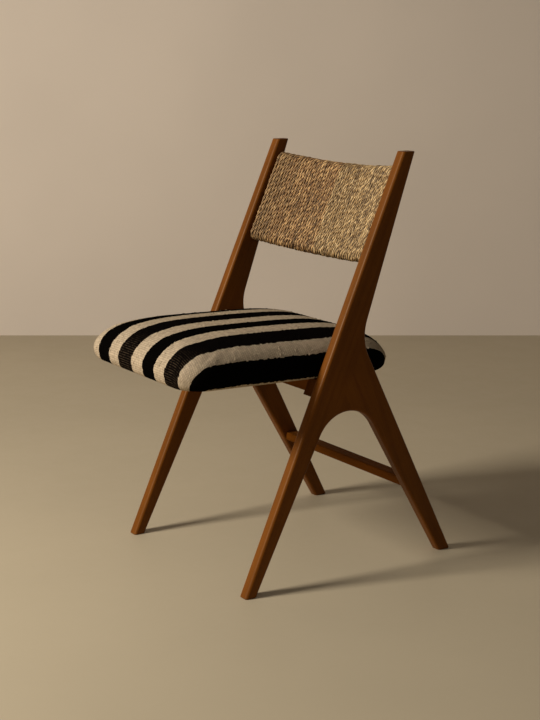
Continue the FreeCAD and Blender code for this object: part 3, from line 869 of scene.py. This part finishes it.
@dataclass
class WoundBack:
    """Two lengths of twisted cord wound side by side round the two bowed back rails."""

    slope: Slope = Slope()
    inner_x: float = 0.2015
    side_gap: float = 0.0003
    rail_set_in: float = 0.0235
    bow: float = 0.027
    bow_radius: float = 0.7654
    bottom: float = 0.6907
    top: float = 0.8608
    cord: float = 0.0078
    reach: float = 0.0117
    loops: int = 25
    strands: int = 4
    strand_points: int = 4
    groove: float = 1.9
    lay_length: float = 0.05
    blade_turn: float = 0.75
    fibre_start: float = 3.0
    step: float = 0.002
    twists: tuple[Wave, ...] = (Wave(0, 2.6, 0.23), Wave(6, 0.9, 0.03))
    girth: Wave = Wave(1, 0.05, 0.02)
    sideways: Wave = Wave(2, 0.0003, 0.015)
    swells: Wave = Wave(30, 0.17, 0.009)
    tone: float = 0.45
    tones: tuple[Wave, ...] = (Wave(3, 0.27, 0.14), Wave(4, 0.1, 0.045), Wave(5, 0.1, 0.006))
    kind: float = 0.52
    kinds: Wave = Wave(9, 0.6, 0.005)

    def _span(self) -> float:
        """From the chair's middle to the middle of the outermost run."""
        return self.inner_x - self.side_gap - self.cord / 2

    def _bow_depth(self, across: np.ndarray) -> np.ndarray:
        """In from the front edge to the rails' middle, which is an arc of the bow's radius."""
        return self.rail_set_in + self.bow - self.bow_radius + np.sqrt(self.bow_radius ** 2 - across ** 2)

    def _half_turn(self, start: np.ndarray, end: np.ndarray, way: float, count: int) -> np.ndarray:
        """Half circles from start places to end places, bulging up or down the slope.

        A point is the middle of its two ends, less the cosine of its turn times half the way
        across, plus the sine times the same radius along the slope.

        Args:
            start: first places, one row for each loop.
            end: last places, one row for each loop.
            way: 1 over the top rail, -1 under the bottom one.
            count: points in each half circle.

        Returns:
            The points, by loop and then along it.
        """
        turn = np.linspace(0, math.pi, count, endpoint=False)[None, :, None]
        middle = ((start + end) / 2)[:, None, :]
        half = ((end - start) / 2)[:, None, :]
        radius = np.linalg.norm(half, axis=2, keepdims=True)
        return middle - np.cos(turn) * half + np.sin(turn) * radius * way * self.slope.along()

    def _route(self, first: float) -> np.ndarray:
        """The cord's middle: up in front, over the top rail, down behind and under the bottom rail.

        Each loop is two half circles joined by two straight runs, half a pitch further on each time
        that it comes to the front or the rear. It starts one cord's width up behind the bottom rail
        and stops two widths short of the next loop.

        Args:
            first: across to the first run, behind the rails.

        Returns:
            Points about one step apart.
        """
        pitch = self._span() / self.loops
        behind = first + pitch * np.arange(self.loops)
        front, after = behind + pitch / 2, behind + pitch
        run = int(round((self.top - self.bottom) / self.step))
        turn = int(round(math.pi * self.reach / self.step))

        def places(across: np.ndarray, side: float, up: float) -> np.ndarray:
            """Places of the cord at one height, in front of the rails or behind them."""
            lean = np.sqrt(1 - (across / self.bow_radius) ** 2)
            depth = self._bow_depth(across) + side * self.reach / lean
            return self.slope.points(across, depth, np.full(len(across), up))

        low_behind, low_front = places(behind, 1, self.bottom), places(front, -1, self.bottom)
        top_front, top_after = places(front, -1, self.top), places(after, 1, self.top)
        low_after = places(after, 1, self.bottom)
        share = np.linspace(0, 1, run, endpoint=False)[None, :, None]
        parts = [self._half_turn(low_behind, low_front, -1, turn),
                 low_front[:, None] * (1 - share) + top_front[:, None] * share,
                 self._half_turn(top_front, top_after, 1, turn),
                 top_after[:, None] * (1 - share) + low_after[:, None] * share]
        route = np.concatenate(parts, axis=1).reshape(-1, 3)
        kept = len(route) - int(2 * self.cord / self.step)
        tail = low_behind[0] + self.slope.along() * self.cord
        steps = np.linspace(0, 1, int(self.cord / self.step), endpoint=False)[:, None]
        return np.concatenate([tail * (1 - steps) + low_behind[0] * steps, route[:kept]])

    def _wind(self, name: str, first: float, seed: int) -> Object:
        """Carries the lobed section of the twisted strands along the route, turning with the lay.

        The section's radius at an angle is the outer reach of its strands: with every strand a
        circle of half the cord's radius, set half the radius out, it is the cosine of the angle
        from the nearest strand. A power deepens the grooves, to half the cord's radius. The blades
        of grass turn less than the strands do, and so lie across them.

        Args:
            name: the piece's name.
            first: across to the first run.
            seed: makes this length's own unevenness.

        Returns:
            The piece.
        """
        route = self._route(first)
        ahead = np.gradient(route, axis=0)
        ahead /= np.linalg.norm(ahead, axis=1, keepdims=True)
        length = np.concatenate([[0], np.cumsum(np.linalg.norm(np.diff(route, axis=0), axis=1))])
        side = np.array([1.0, 0, 0]) - ahead[:, :1] * ahead
        side /= np.linalg.norm(side, axis=1, keepdims=True)
        out = np.cross(side, ahead)
        rows, count = len(route), self.strand_points * self.strands
        angle = 2 * math.pi * np.arange(count) / count
        apart = 2 * math.pi / self.strands
        lobe = np.cos((angle + apart / 2) % apart - apart / 2) ** self.groove
        strand = (np.arange(count) + self.strand_points // 2) // self.strand_points % self.strands
        twist = 2 * math.pi * length / self.lay_length + sum(wave.at(length, seed) for wave in self.twists)
        turned = angle[None, :] - twist[:, None]
        size = 1 + self.girth.at(length, seed)
        swell = 1 + np.stack([self.swells.at(length, seed, number) for number in range(self.strands)])
        radius = self.cord / 2 * lobe[None, :] * size[:, None] * swell[strand].T
        aside = radius * np.cos(turned) + self.sideways.at(length, seed)[:, None]
        rings = (route[:, None] + aside[..., None] * side[:, None]
                 + (radius * np.sin(turned))[..., None] * out[:, None])
        ends = [list(range(count))[::-1], list(range((rows - 1) * count, rows * count))]
        piece = mesh_piece(name, rings.reshape(-1, 3), grid_faces(rows, count).tolist() + ends)
        blade = angle[None, :] - self.blade_turn * twist[:, None]
        start = length[:, None] + self.fibre_start * seed
        store_vectors(piece.data, "lay", self.cord / 2 * np.cos(blade), self.cord / 2 * np.sin(blade), start)
        tone = self.tone + sum(wave.at(length, seed) for wave in self.tones)
        kind = self.kind + np.stack([self.kinds.at(length, seed, number) for number in range(self.strands)])
        # the first number is the lobe share, which the cord's material turns into painted shade in the
        # grooves and painted light on the crests
        store_vectors(piece.data, "cord", lobe[None, :], tone[:, None], kind[strand].T)
        return piece

    def build(self, effects: Effects) -> None:
        """Makes both lengths of cord, which stand for their CAD nodes.

        Args:
            effects: the shared shader groups.
        """
        brown = GrassCord("brown_cord", base=srgb(128, 92, 55), pale=srgb(212, 174, 120),
                          brown=srgb(56, 33, 15), grey_tone=srgb(96, 76, 48), greying=0.6)
        straw = GrassCord("straw_cord", base=srgb(140, 110, 68), pale=srgb(218, 188, 138),
                          brown=srgb(74, 51, 28), grey_tone=srgb(150, 130, 96))
        halves = {"back_cord_right": (-self._span(), 20, brown),
                  "back_cord_left": (0.0, 60, straw)}
        for node, (first, seed, finish) in halves.items():
            piece = self._wind(f"wound_{node}", first, seed)
            piece.data.materials.append(finish.material(effects))
            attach(piece, "root")
            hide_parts(node)
            LOG.info("%s has %d faces", piece.name, len(piece.data.polygons))


# Upholstered seat
@dataclass
class Profile:
    """The cushion's section as rows: inset, height, corner share, slope, and excess of cloth.

    The excess is how much longer the cloth is from a row to the middle than straight across.
    """

    inset: np.ndarray
    height: np.ndarray
    corner: np.ndarray
    slope: np.ndarray
    excess: np.ndarray

    def every(self, step: int) -> "Profile":
        """One row in so many."""
        return Profile(self.inset[::step], self.height[::step], self.corner[::step], self.slope[::step],
                       self.excess[::step])


@dataclass
class UpholsteredSeat:
    """The crowned seat: striped cover, foam, board and the lining underneath."""

    half_width: float = 0.1995
    half_depth: float = 0.242
    middle: Triple = (0.0, -0.06444, 0.3924)
    tilt: float = math.radians(1.95)
    bulge: float = 0.022
    bottom_inset: float = 0.016
    crown: float = 0.090
    fullness: float = 2.0
    shoulder: float = 4.0
    end_slope: float = 0.25
    corner_low: float = 0.26
    corner_high: float = 0.9
    corner_inset: float = 0.1495
    straight_sides: float = 0.9
    straight_ends: float = 0.87
    hem: float = 0.034
    thickness: float = 0.002
    side_room: float = 0.2008
    swell: float = 0.003
    fuller: Table = ((0.1, 0.22, 0.45, 0.7, 0.85, 1.0), (0, 1.25, 1.3, 1.1, 0.4, 0))
    lower: Table = ((0.15, 0.45, 0.7, 0.85, 1.0), (0, -0.3, -0.3, 0.7, 0.95))
    form_spacing: float = 0.008
    form_skin: float = 0.0003
    voxel: float = 0.005
    held_height: float = 0.012
    pressure: float = 4.0
    moments: int = 20
    spacing: float = 0.003
    wall_step: int = 4
    drawn_from: float = 0.006
    drawn_steps: int = 8
    slubs: int = 440
    slub_seed: int = 7
    slub_lengths: tuple[float, float] = (0.0016, 0.0036)
    slub_widths: tuple[float, float] = (0.0011, 0.0021)
    slub_flatness: float = 0.6
    slubs_above: float = 0.01
    outside_share: float = 0.79

    def _crown_height(self, inset: np.ndarray) -> np.ndarray:
        """Height above the bulge: a rounded hump whose power is set by fullness and shoulder."""
        inner = np.clip(1 - inset / self.half_width, 0, 1)
        return self.bulge + (self.crown - self.bulge) * (1 - inner ** self.shoulder) ** (1 / self.fullness)

    def _profile(self, spacing: float, hem: bool) -> Profile:
        """The section from under the seat, round its lower edge and over the crown to the middle.

        The lower edge is a quarter of an ellipse, and the crown follows the hump. Rows stand at
        even distances along the section.

        Args:
            spacing: distance between rows.
            hem: whether the rows start at the hem's edge instead of under the seat's middle.

        Returns:
            The rows.
        """
        coarse, fine = 60, 1200
        turn = np.linspace(0, math.pi / 2, coarse)
        under = self.bottom_inset + self.hem if hem else self.half_width
        crown_inset = self.half_width * np.linspace(0, 1, fine)[1:] ** 2
        inset = np.concatenate([np.linspace(under, self.bottom_inset, coarse)[:-1],
                                self.bottom_inset * (1 - np.sin(turn)), crown_inset])
        height = np.concatenate([np.zeros(coarse - 1), self.bulge * (1 - np.cos(turn)),
                                 self._crown_height(crown_inset)])
        way = np.concatenate([[0], np.cumsum(np.hypot(np.diff(inset), np.diff(height)))])
        rows = np.linspace(0, way[-1], int(way[-1] / spacing) + 1)
        inset_at, height_at = np.interp(rows, way, inset), np.interp(rows, way, height)
        above = height_at > self.bulge
        share = np.where(above, np.minimum(inset_at / self.corner_inset, 1), 0)
        corner = self.corner_low + (self.corner_high - self.corner_low) * share
        slope = np.where(above, self.end_slope * np.minimum(inset_at, self.corner_inset), 0)
        return Profile(inset_at, height_at, corner, slope, way[-1] - rows - (self.half_width - inset_at))

    def _outline(self, profile: Profile, spacing: float, skin: float) -> tuple[np.ndarray, np.ndarray]:
        """Rounded rectangles, one for each of the section's rows, with the same number of points in each.

        Every side has a straight part and a quarter circle, whose radius is the corner share of
        the half width that is left. Front and rear are drawn in further by the slope.

        Args:
            profile: the section's rows.
            spacing: distance between points on the widest outline.
            skin: how much smaller each outline is.

        Returns:
            The points as x and y, by outline, and the outward directions.
        """
        inset = np.minimum(profile.inset + skin, self.half_width)
        half_x, half_y = self.half_width - inset, self.half_depth - inset - profile.slope
        radius = profile.corner * half_x
        turned = max(8, int(0.5 * math.pi * self.corner_low * self.half_width / spacing) + 4)
        side_points = int(2 * self.half_depth * self.straight_sides / spacing)
        end_points = int(2 * self.half_width * self.straight_ends / spacing)
        parts, ways = [], []
        for quarter in range(4):
            straight = side_points if quarter % 2 == 0 else end_points
            angle = quarter * math.pi / 2
            out = np.array([math.cos(angle), math.sin(angle)])
            ahead = np.array([-out[1], out[0]])
            reach, length = (half_x, half_y) if quarter % 2 == 0 else (half_y, half_x)
            share = np.linspace(-1, 1, straight, endpoint=False)[None, :, None]
            line = reach[:, None, None] * out + share * (length - radius)[:, None, None] * ahead
            swing = np.linspace(0, math.pi / 2, turned, endpoint=False)[None, :, None]
            way = np.cos(swing) * out + np.sin(swing) * ahead
            hub = (reach - radius)[:, None, None] * out + (length - radius)[:, None, None] * ahead
            parts += [line, hub + radius[:, None, None] * way]
            ways += [np.broadcast_to(out, line.shape), np.broadcast_to(way, hub.shape[:1] + way.shape[1:])]
        return np.concatenate(parts, axis=1), np.concatenate(ways, axis=1)

    def _surface(self, profile: Profile, spacing: float, skin: float) -> tuple[np.ndarray, np.ndarray]:
        """The cushion's surface, level, by row and point, and each point's outward direction in plan.

        Each row's outline stands at that row's height, which the skin squeezes in from both ends.

        Args:
            profile: the section's rows.
            spacing: distance between points.
            skin: how much smaller the surface is all over.

        Returns:
            The places and the directions.
        """
        points, ways = self._outline(profile, spacing, skin)
        height = skin + profile.height * (self.crown - 2 * skin) / self.crown
        height = np.broadcast_to(height[:, None, None], points.shape[:2] + (1,))
        return np.concatenate([points, height], axis=2), ways

    def _cloth(self, places: np.ndarray, ways: np.ndarray, profile: Profile) -> np.ndarray:
        """Where each point is on the flat cloth: across the stripes and along them.

        Down a side the cloth runs on by the section's own length, less what the section at that
        end of the seat hasn't yet gone down, and by how far the surface faces that side.

        Args:
            places: the level surface.
            ways: its outward directions in plan.
            profile: the section's rows.

        Returns:
            One vector for each point, its third number the height.
        """
        crown = profile.height > self.bulge
        order = np.argsort(profile.inset[crown])
        known, extra = profile.inset[crown][order], profile.excess[crown][order]

        def excess(inset: np.ndarray) -> np.ndarray:
            """Extra cloth of the crown's section at an inset."""
            return np.interp(inset, known, extra)

        x, y = places[..., 0], places[..., 1]
        row = profile.excess[:, None]
        from_end = self.half_depth - np.abs(y)
        from_end = np.maximum(from_end / (1 + self.end_slope), from_end - self.end_slope * self.corner_inset)
        side = np.abs(x) + ways[..., 0] ** 2 * (row - excess(from_end))
        end = np.abs(y) + ways[..., 1] ** 2 * (row - excess(self.half_width - np.abs(x)))
        return np.stack([np.copysign(side, x), np.copysign(end, y), places[..., 2]], axis=-1)

    def _placed(self, places: np.ndarray) -> np.ndarray:
        """Takes level places to the seat's tilted place.

        Args:
            places: the level places.

        Returns:
            The tilted ones, one row each.
        """
        backwards = np.array([0.0, math.cos(self.tilt), -math.sin(self.tilt)])
        up = np.array([0.0, math.sin(self.tilt), math.cos(self.tilt)])
        flat = places.reshape(-1, 3)
        return (np.array(self.middle) + flat[:, :1] * np.array([1.0, 0, 0]) + flat[:, 1:2] * backwards
                + flat[:, 2:3] * up)

    def _pressed_form(self) -> Object:
        """A stuffed form of the seat, swollen by cloth simulation with its underside held.

        The stuffing lifts the crown and pulls the sides in, so the form starts lower and with fuller
        sides than the cushion. Each point may then move by up to the swell, and ends no further out
        than the room between the uprights.

        Returns:
            The form, level, for the cover to be drawn over.
        """
        profile = self._profile(self.form_spacing, hem=False)
        places, ways = self._surface(profile, self.form_spacing, self.form_skin)
        height = places[..., 2] / self.crown
        places[..., :2] += self.swell * np.interp(height, *self.fuller)[..., None] * ways
        places[..., 2] -= self.swell * np.interp(height, *self.lower)
        rows, columns = places.shape[:2]
        form = mesh_piece("pressed_form", places.reshape(-1, 3), grid_faces(rows, columns).tolist())
        remesh = form.modifiers.new("voxels", "REMESH")
        remesh.mode = "VOXEL"
        remesh.voxel_size = self.voxel
        self._apply(form)
        start = vertex_places(form.data)
        held = form.vertex_groups.new(name="held")
        held.add(np.flatnonzero(start[:, 2] < self.held_height).tolist(), 1.0, "REPLACE")
        cloth = form.modifiers.new("cloth", "CLOTH")
        cloth.settings.use_pressure = True
        cloth.settings.uniform_pressure_force = self.pressure
        cloth.settings.vertex_group_mass = "held"
        cloth.settings.effector_weights.gravity = 0.0
        for moment in range(1, self.moments + 1):
            bpy.context.scene.frame_set(moment)
        self._apply(form)
        bpy.context.scene.frame_set(1)
        moved = vertex_places(form.data) - start
        reach = np.linalg.norm(moved, axis=1, keepdims=True)
        places = start + moved * np.minimum(1, self.swell / np.maximum(reach, 1e-9))
        LOG.info("the cloth moved by up to %.1f mm", 1000 * reach.max())
        places[:, 0] = np.clip(places[:, 0], -self.side_room, self.side_room)
        move_vertices(form.data, places)
        return form

    @staticmethod
    def _apply(piece: Object) -> None:
        """Makes a piece's modifiers a part of its mesh.

        Args:
            piece: the piece, which keeps no modifier.
        """
        graph = bpy.context.evaluated_depsgraph_get()
        mesh = bpy.data.meshes.new_from_object(piece.evaluated_get(graph), preserve_all_data_layers=True,
                                               depsgraph=graph)
        piece.modifiers.clear()
        piece.data = mesh

    def _cover(self) -> Object:
        """The cover: outside drawn over the pressed form, hem turned in, inside two millimetres in.

        Returns:
            The piece, in its tilted place, with its cloth coordinates.
        """
        profile = self._profile(self.spacing, hem=True)
        places, ways = self._surface(profile, self.spacing, 0.0)
        cloth = self._cloth(places, ways, profile)
        inside, _ = self._surface(profile.every(self.wall_step), self.spacing, self.thickness)
        rows, columns = places.shape[:2]
        outer = rows * columns
        number = np.arange(columns)
        after = (number + 1) % columns
        faces = np.concatenate([grid_faces(rows, columns), grid_faces(len(inside), columns)[:, ::-1] + outer,
                                np.stack([number, outer + number, outer + after, after], axis=1)])
        points = np.concatenate([places.reshape(-1, 3), inside.reshape(-1, 3)])
        piece = mesh_piece("striped_cover", points, faces.tolist())
        carried = np.concatenate([cloth.reshape(-1, 3), cloth[::self.wall_step].reshape(-1, 3)])
        store_vectors(piece.data, "cloth", *carried.T)
        self._draw_over(piece, places[..., 2].ravel())
        final = vertex_places(piece.data)
        moved = (final[:outer] - places.reshape(-1, 3)).reshape(rows, columns, 3)
        final[outer:] = (inside + moved[::self.wall_step]).reshape(-1, 3)
        move_vertices(piece.data, self._placed(final))
        return piece

    def _draw_over(self, piece: Object, height: np.ndarray) -> None:
        """Draws the cover's outside over the pressed form, more and more from its underside up to the bulge.

        Args:
            piece: the level cover.
            height: the heights of its outside's points.
        """
        form = self._pressed_form()
        drawn = piece.vertex_groups.new(name="drawn")
        drawn.add(np.flatnonzero(height > self.bulge).tolist(), 1.0, "REPLACE")
        between = np.flatnonzero((height > self.drawn_from) & (height <= self.bulge))
        share = (height[between] - self.drawn_from) / (self.bulge - self.drawn_from)
        steps = np.minimum((share * self.drawn_steps).astype(int) + 1, self.drawn_steps)
        for step in range(1, self.drawn_steps + 1):
            drawn.add(between[steps == step].tolist(), step / self.drawn_steps, "REPLACE")
        wrap = piece.modifiers.new("drawn over", "SHRINKWRAP")
        wrap.target = form
        wrap.vertex_group = "drawn"
        self._apply(piece)
        bpy.data.objects.remove(form)

    @staticmethod
    def _egg() -> tuple[np.ndarray, np.ndarray, np.ndarray]:
        """A ball of three rings of six points between two poles, to be drawn out into a slub.

        Returns:
            Its places, its three-cornered end faces and its four-cornered side faces.
        """
        around, rings = 6, 3
        latitude = np.radians([45.0, 0.0, -45.0])[:, None]
        longitude = np.arange(around)[None, :] * 2 * math.pi / around
        ball = np.stack([np.cos(latitude) * np.cos(longitude), np.cos(latitude) * np.sin(longitude),
                         np.sin(latitude) + 0 * longitude], axis=-1).reshape(-1, 3)
        places = np.concatenate([[[0, 0, 1.0]], ball, [[0, 0, -1.0]]])
        ring = np.arange(around)
        after = (ring + 1) % around
        last = 1 + around * (rings - 1)
        top = np.stack([0 * ring, 1 + ring, 1 + after], axis=1)
        bottom = np.stack([0 * ring + last + around, last + after, last + ring], axis=1)
        return places, np.concatenate([top, bottom]), grid_faces(rings, around)[:, [0, 3, 2, 1]] + 1

    def _slubs(self, cover: Object) -> Object:
        """Small knots of yarn that stand out of the weave.

        Each one is an egg half sunk in the cover's outside. Its place is seeded, and a point is as
        likely as its outline is wide, which spreads the knots evenly.

        Args:
            cover: the finished cover.

        Returns:
            The piece.
        """
        random = np.random.default_rng(self.slub_seed)
        places, normals = vertex_places(cover.data), vertex_normals(cover.data)
        flat = np.empty(len(places) * 3, np.float32)
        cover.data.attributes["cloth"].data.foreach_get("vector", flat)
        cloth = flat.reshape(-1, 3).astype(float)
        outside = np.arange(len(cloth)) < len(cloth) * self.outside_share
        high = np.flatnonzero((cloth[:, 2] > self.slubs_above) & outside)
        width = np.maximum(np.abs(cloth[high, 0]) / self.half_width, np.abs(cloth[high, 1]) / self.half_depth)
        hosts = random.choice(high, self.slubs, replace=False, p=width / width.sum())
        turn = random.uniform(0, 2 * math.pi, self.slubs)
        out = normals[hosts]
        rise = np.full(self.slubs, 0.3)
        ahead = np.cross(out, np.stack([np.cos(turn), np.sin(turn), rise], axis=1))
        ahead /= np.linalg.norm(ahead, axis=1, keepdims=True)
        long = random.uniform(*self.slub_lengths, self.slubs)[:, None]
        wide = random.uniform(*self.slub_widths, self.slubs)[:, None]
        egg, ends, sides = self._egg()
        axes = np.stack([ahead * long, np.cross(out, ahead) * wide, out * self.slub_flatness * wide], axis=1)
        points = places[hosts][:, None] + egg @ axes
        shift = len(egg) * np.arange(self.slubs)[:, None, None]
        faces = (ends + shift).reshape(-1, 3).tolist() + (sides + shift).reshape(-1, 4).tolist()
        piece = mesh_piece("cover_slubs", points.reshape(-1, 3), faces)
        store_vectors(piece.data, "cloth", *np.repeat(cloth[hosts], len(egg), axis=0).T)
        return piece

    def build(self, effects: Effects) -> None:
        """Makes the cover with its slubs and finishes the seat's other layers.

        Args:
            effects: the shared shader groups.
        """
        striped = StripedCloth("striped_cloth").material(effects)
        cover = self._cover()
        slubs = self._slubs(cover)
        for piece in (cover, slubs):
            piece.data.materials.append(striped)
            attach(piece, "root")
            LOG.info("%s has %d faces", piece.name, len(piece.data.polygons))
        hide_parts("seat_cover")
        dress_node("seat_foam", SeatFoam("foam_finish").material(effects))
        dress_node("seat_board", BareWood("plywood_finish", ply=0.0015).material(effects))
        dress_node("seat_dust_cover", LiningCloth("lining_finish").material(effects))


# Studio
@dataclass(frozen=True)
class PlainSurface(Finish):
    """Pale plaster or polished floor behind and under the chair."""

    name: str
    colour: Colour
    roughness: float

    def inputs(self, graph: Graph, effects: Effects) -> dict[str, Any]:
        """A pale surface with faint clouds, clear from behind so that it hides nothing there.

        Args:
            graph: the material's graph.
            effects: the shared shader groups.

        Returns:
            What feeds the shader, by socket name.
        """
        patches = graph.group(effects.patches, {"Vector": graph.place(), "Slow": 1.3, "Quick": 9.0})
        colour = graph.shade(self.colour, graph.span(patches["Tone"], 0.25, 0.75, 0.965, 1.03))
        rough = graph.span(patches["Speck"], 0.3, 0.7, self.roughness - 0.05, self.roughness + 0.05)
        return {"Base Color": colour, "Roughness": rough, "Specular IOR Level": 0.3}

    def seen(self, graph: Graph, shader: NodeSocket) -> NodeSocket:
        """The surface from its front, and nothing from behind.

        Args:
            graph: the material's graph.
            shader: the surface's shader.

        Returns:
            The mix of both.
        """
        clear = graph.node("ShaderNodeBsdfTransparent", {}, {}).outputs[0]
        sides = {0: graph.surface("Backfacing"), 1: shader, 2: clear}
        return graph.node("ShaderNodeMixShader", {}, sides).outputs[0]


@dataclass(frozen=True)
class Lamp:
    """A square lamp: its name, side, strength in watts, distance and colour."""

    name: str
    size: float
    power: float
    distance: float
    colour: Colour

    def hang(self, aim: np.ndarray, way: np.ndarray) -> None:
        """Hangs the lamp.

        Args:
            aim: the point that it shines at.
            way: the direction in which it hangs from there.
        """
        data = bpy.data.lights.new(self.name, "AREA")
        data.size = self.size
        data.energy = self.power
        data.color = self.colour
        lamp = bpy.data.objects.new(self.name, data)
        lamp.location = aim + way * self.distance
        lamp.rotation_mode = "QUATERNION"
        lamp.rotation_quaternion = Vector(-way).to_track_quat("-Z", "Y")
        bpy.context.scene.collection.objects.link(lamp)


@dataclass
class Studio:
    """The pale floor and wall, the soft light and the camera at the photograph's angle."""

    camera_place: Triple = (2.3551, -1.58567, 1.03541)
    azimuth: float = 55.862
    elevation: float = 8.4
    lens: float = 71.651
    shift: float = -0.153
    wall_distance: float = 2.11
    wall_height: float = 5.0
    floor_reach: float = 9.0
    aim: Triple = (0.0, 0.0, 0.4)
    window: Lamp = Lamp("window_light", 0.7, 124.0, 3.2, (1.0, 0.93, 0.83))
    window_way: Triple = (-0.17, -0.86, 0.48)
    room: Lamp = Lamp("room_light", 2.4, 5.0, 2.4, (1.0, 0.95, 0.88))
    room_way: Triple = (-0.2, 0.8, 0.9)
    glow: float = 0.09
    glow_colour: Colour = (1.0, 0.95, 0.89)
    far_colour: Colour = srgb(158, 143, 126)

    def _back(self) -> np.ndarray:
        """The level direction from the chair to the camera."""
        angle = math.radians(self.azimuth)
        return np.array([math.sin(angle), -math.cos(angle), 0.0])

    def _stage(self, name: str, corners: np.ndarray, finish: PlainSurface, effects: Effects) -> None:
        """Lays one flat sheet of the stage.

        Args:
            name: its name.
            corners: its four corners.
            finish: its surface.
            effects: the shared shader groups.
        """
        sheet = mesh_piece(name, corners, [[0, 1, 2, 3]], smooth=False)
        sheet.data.materials.append(finish.material(effects))

    def _world(self) -> None:
        """An even pale room: dim for lighting, and the wall's colour where it is seen or mirrored."""
        world = bpy.data.worlds.new("room")
        world.use_nodes = True
        world.node_tree.nodes.clear()
        graph = Graph(world.node_tree)
        rays = graph.node("ShaderNodeLightPath", {}, {}).outputs
        seen = graph.math("MAXIMUM", graph.math("MAXIMUM", rays["Is Camera Ray"], rays["Is Glossy Ray"]),
                          rays["Is Transmission Ray"])
        light = graph.node("ShaderNodeBackground", {}, {"Color": self.glow_colour, "Strength": self.glow})
        shown = graph.node("ShaderNodeBackground", {}, {"Color": self.far_colour, "Strength": 1.0})
        both = graph.node("ShaderNodeMixShader", {}, {0: seen, 1: light.outputs[0], 2: shown.outputs[0]})
        graph.node("ShaderNodeOutputWorld", {}, {"Surface": both.outputs[0]})
        bpy.context.scene.world = world

    def camera(self) -> None:
        """Stands the camera at the photograph's place."""
        elevation = math.radians(self.elevation)
        back = self._back() * math.cos(elevation) + np.array([0, 0, math.sin(elevation)])
        data = bpy.data.cameras.new("camera")
        data.lens = self.lens
        data.sensor_width = 36.0
        data.shift_y = self.shift
        camera = bpy.data.objects.new("camera", data)
        camera.location = self.camera_place
        camera.rotation_mode = "QUATERNION"
        camera.rotation_quaternion = (-Vector(back)).to_track_quat("-Z", "Y")
        bpy.context.scene.collection.objects.link(camera)
        bpy.context.scene.camera = camera

    def build(self, effects: Effects) -> None:
        """Lays the floor and wall and hangs the lamps.

        Args:
            effects: the shared shader groups.
        """
        reach = self.floor_reach
        floor = np.array([[-reach, -reach, 0], [reach, -reach, 0], [reach, reach, 0], [-reach, reach, 0]])
        self._stage("floor", floor, PlainSurface("polished_floor", srgb(178, 165, 140), 0.56), effects)
        back = self._back()
        right = np.array([-back[1], back[0], 0.0])
        foot = -back * self.wall_distance
        up = np.array([0, 0, self.wall_height])
        wall = np.array([foot - right * reach, foot + right * reach, foot + right * reach + up,
                         foot - right * reach + up])
        self._stage("wall", wall, PlainSurface("plaster_wall", srgb(212, 199, 184), 0.85), effects)
        aim = np.array(self.aim)
        self.window.hang(aim, np.array(self.window_way) / np.linalg.norm(self.window_way))
        self.room.hang(aim, np.array(self.room_way) @ np.stack([right, back, [0.0, 0.0, 1.0]]))
        self._world()
        bpy.context.scene.view_settings.view_transform = "Standard"


def main() -> None:
    """Builds the studio and the chair's parts in order."""
    logging.basicConfig(level=logging.INFO, format="%(name)s: %(message)s")
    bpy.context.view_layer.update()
    effects = Effects()
    studio = Studio()
    studio.camera()
    studio.build(effects)
    TimberFrame().dress(effects)
    WoundBack().build(effects)
    UpholsteredSeat().build(effects)


if __name__ == "__main__":
    main()
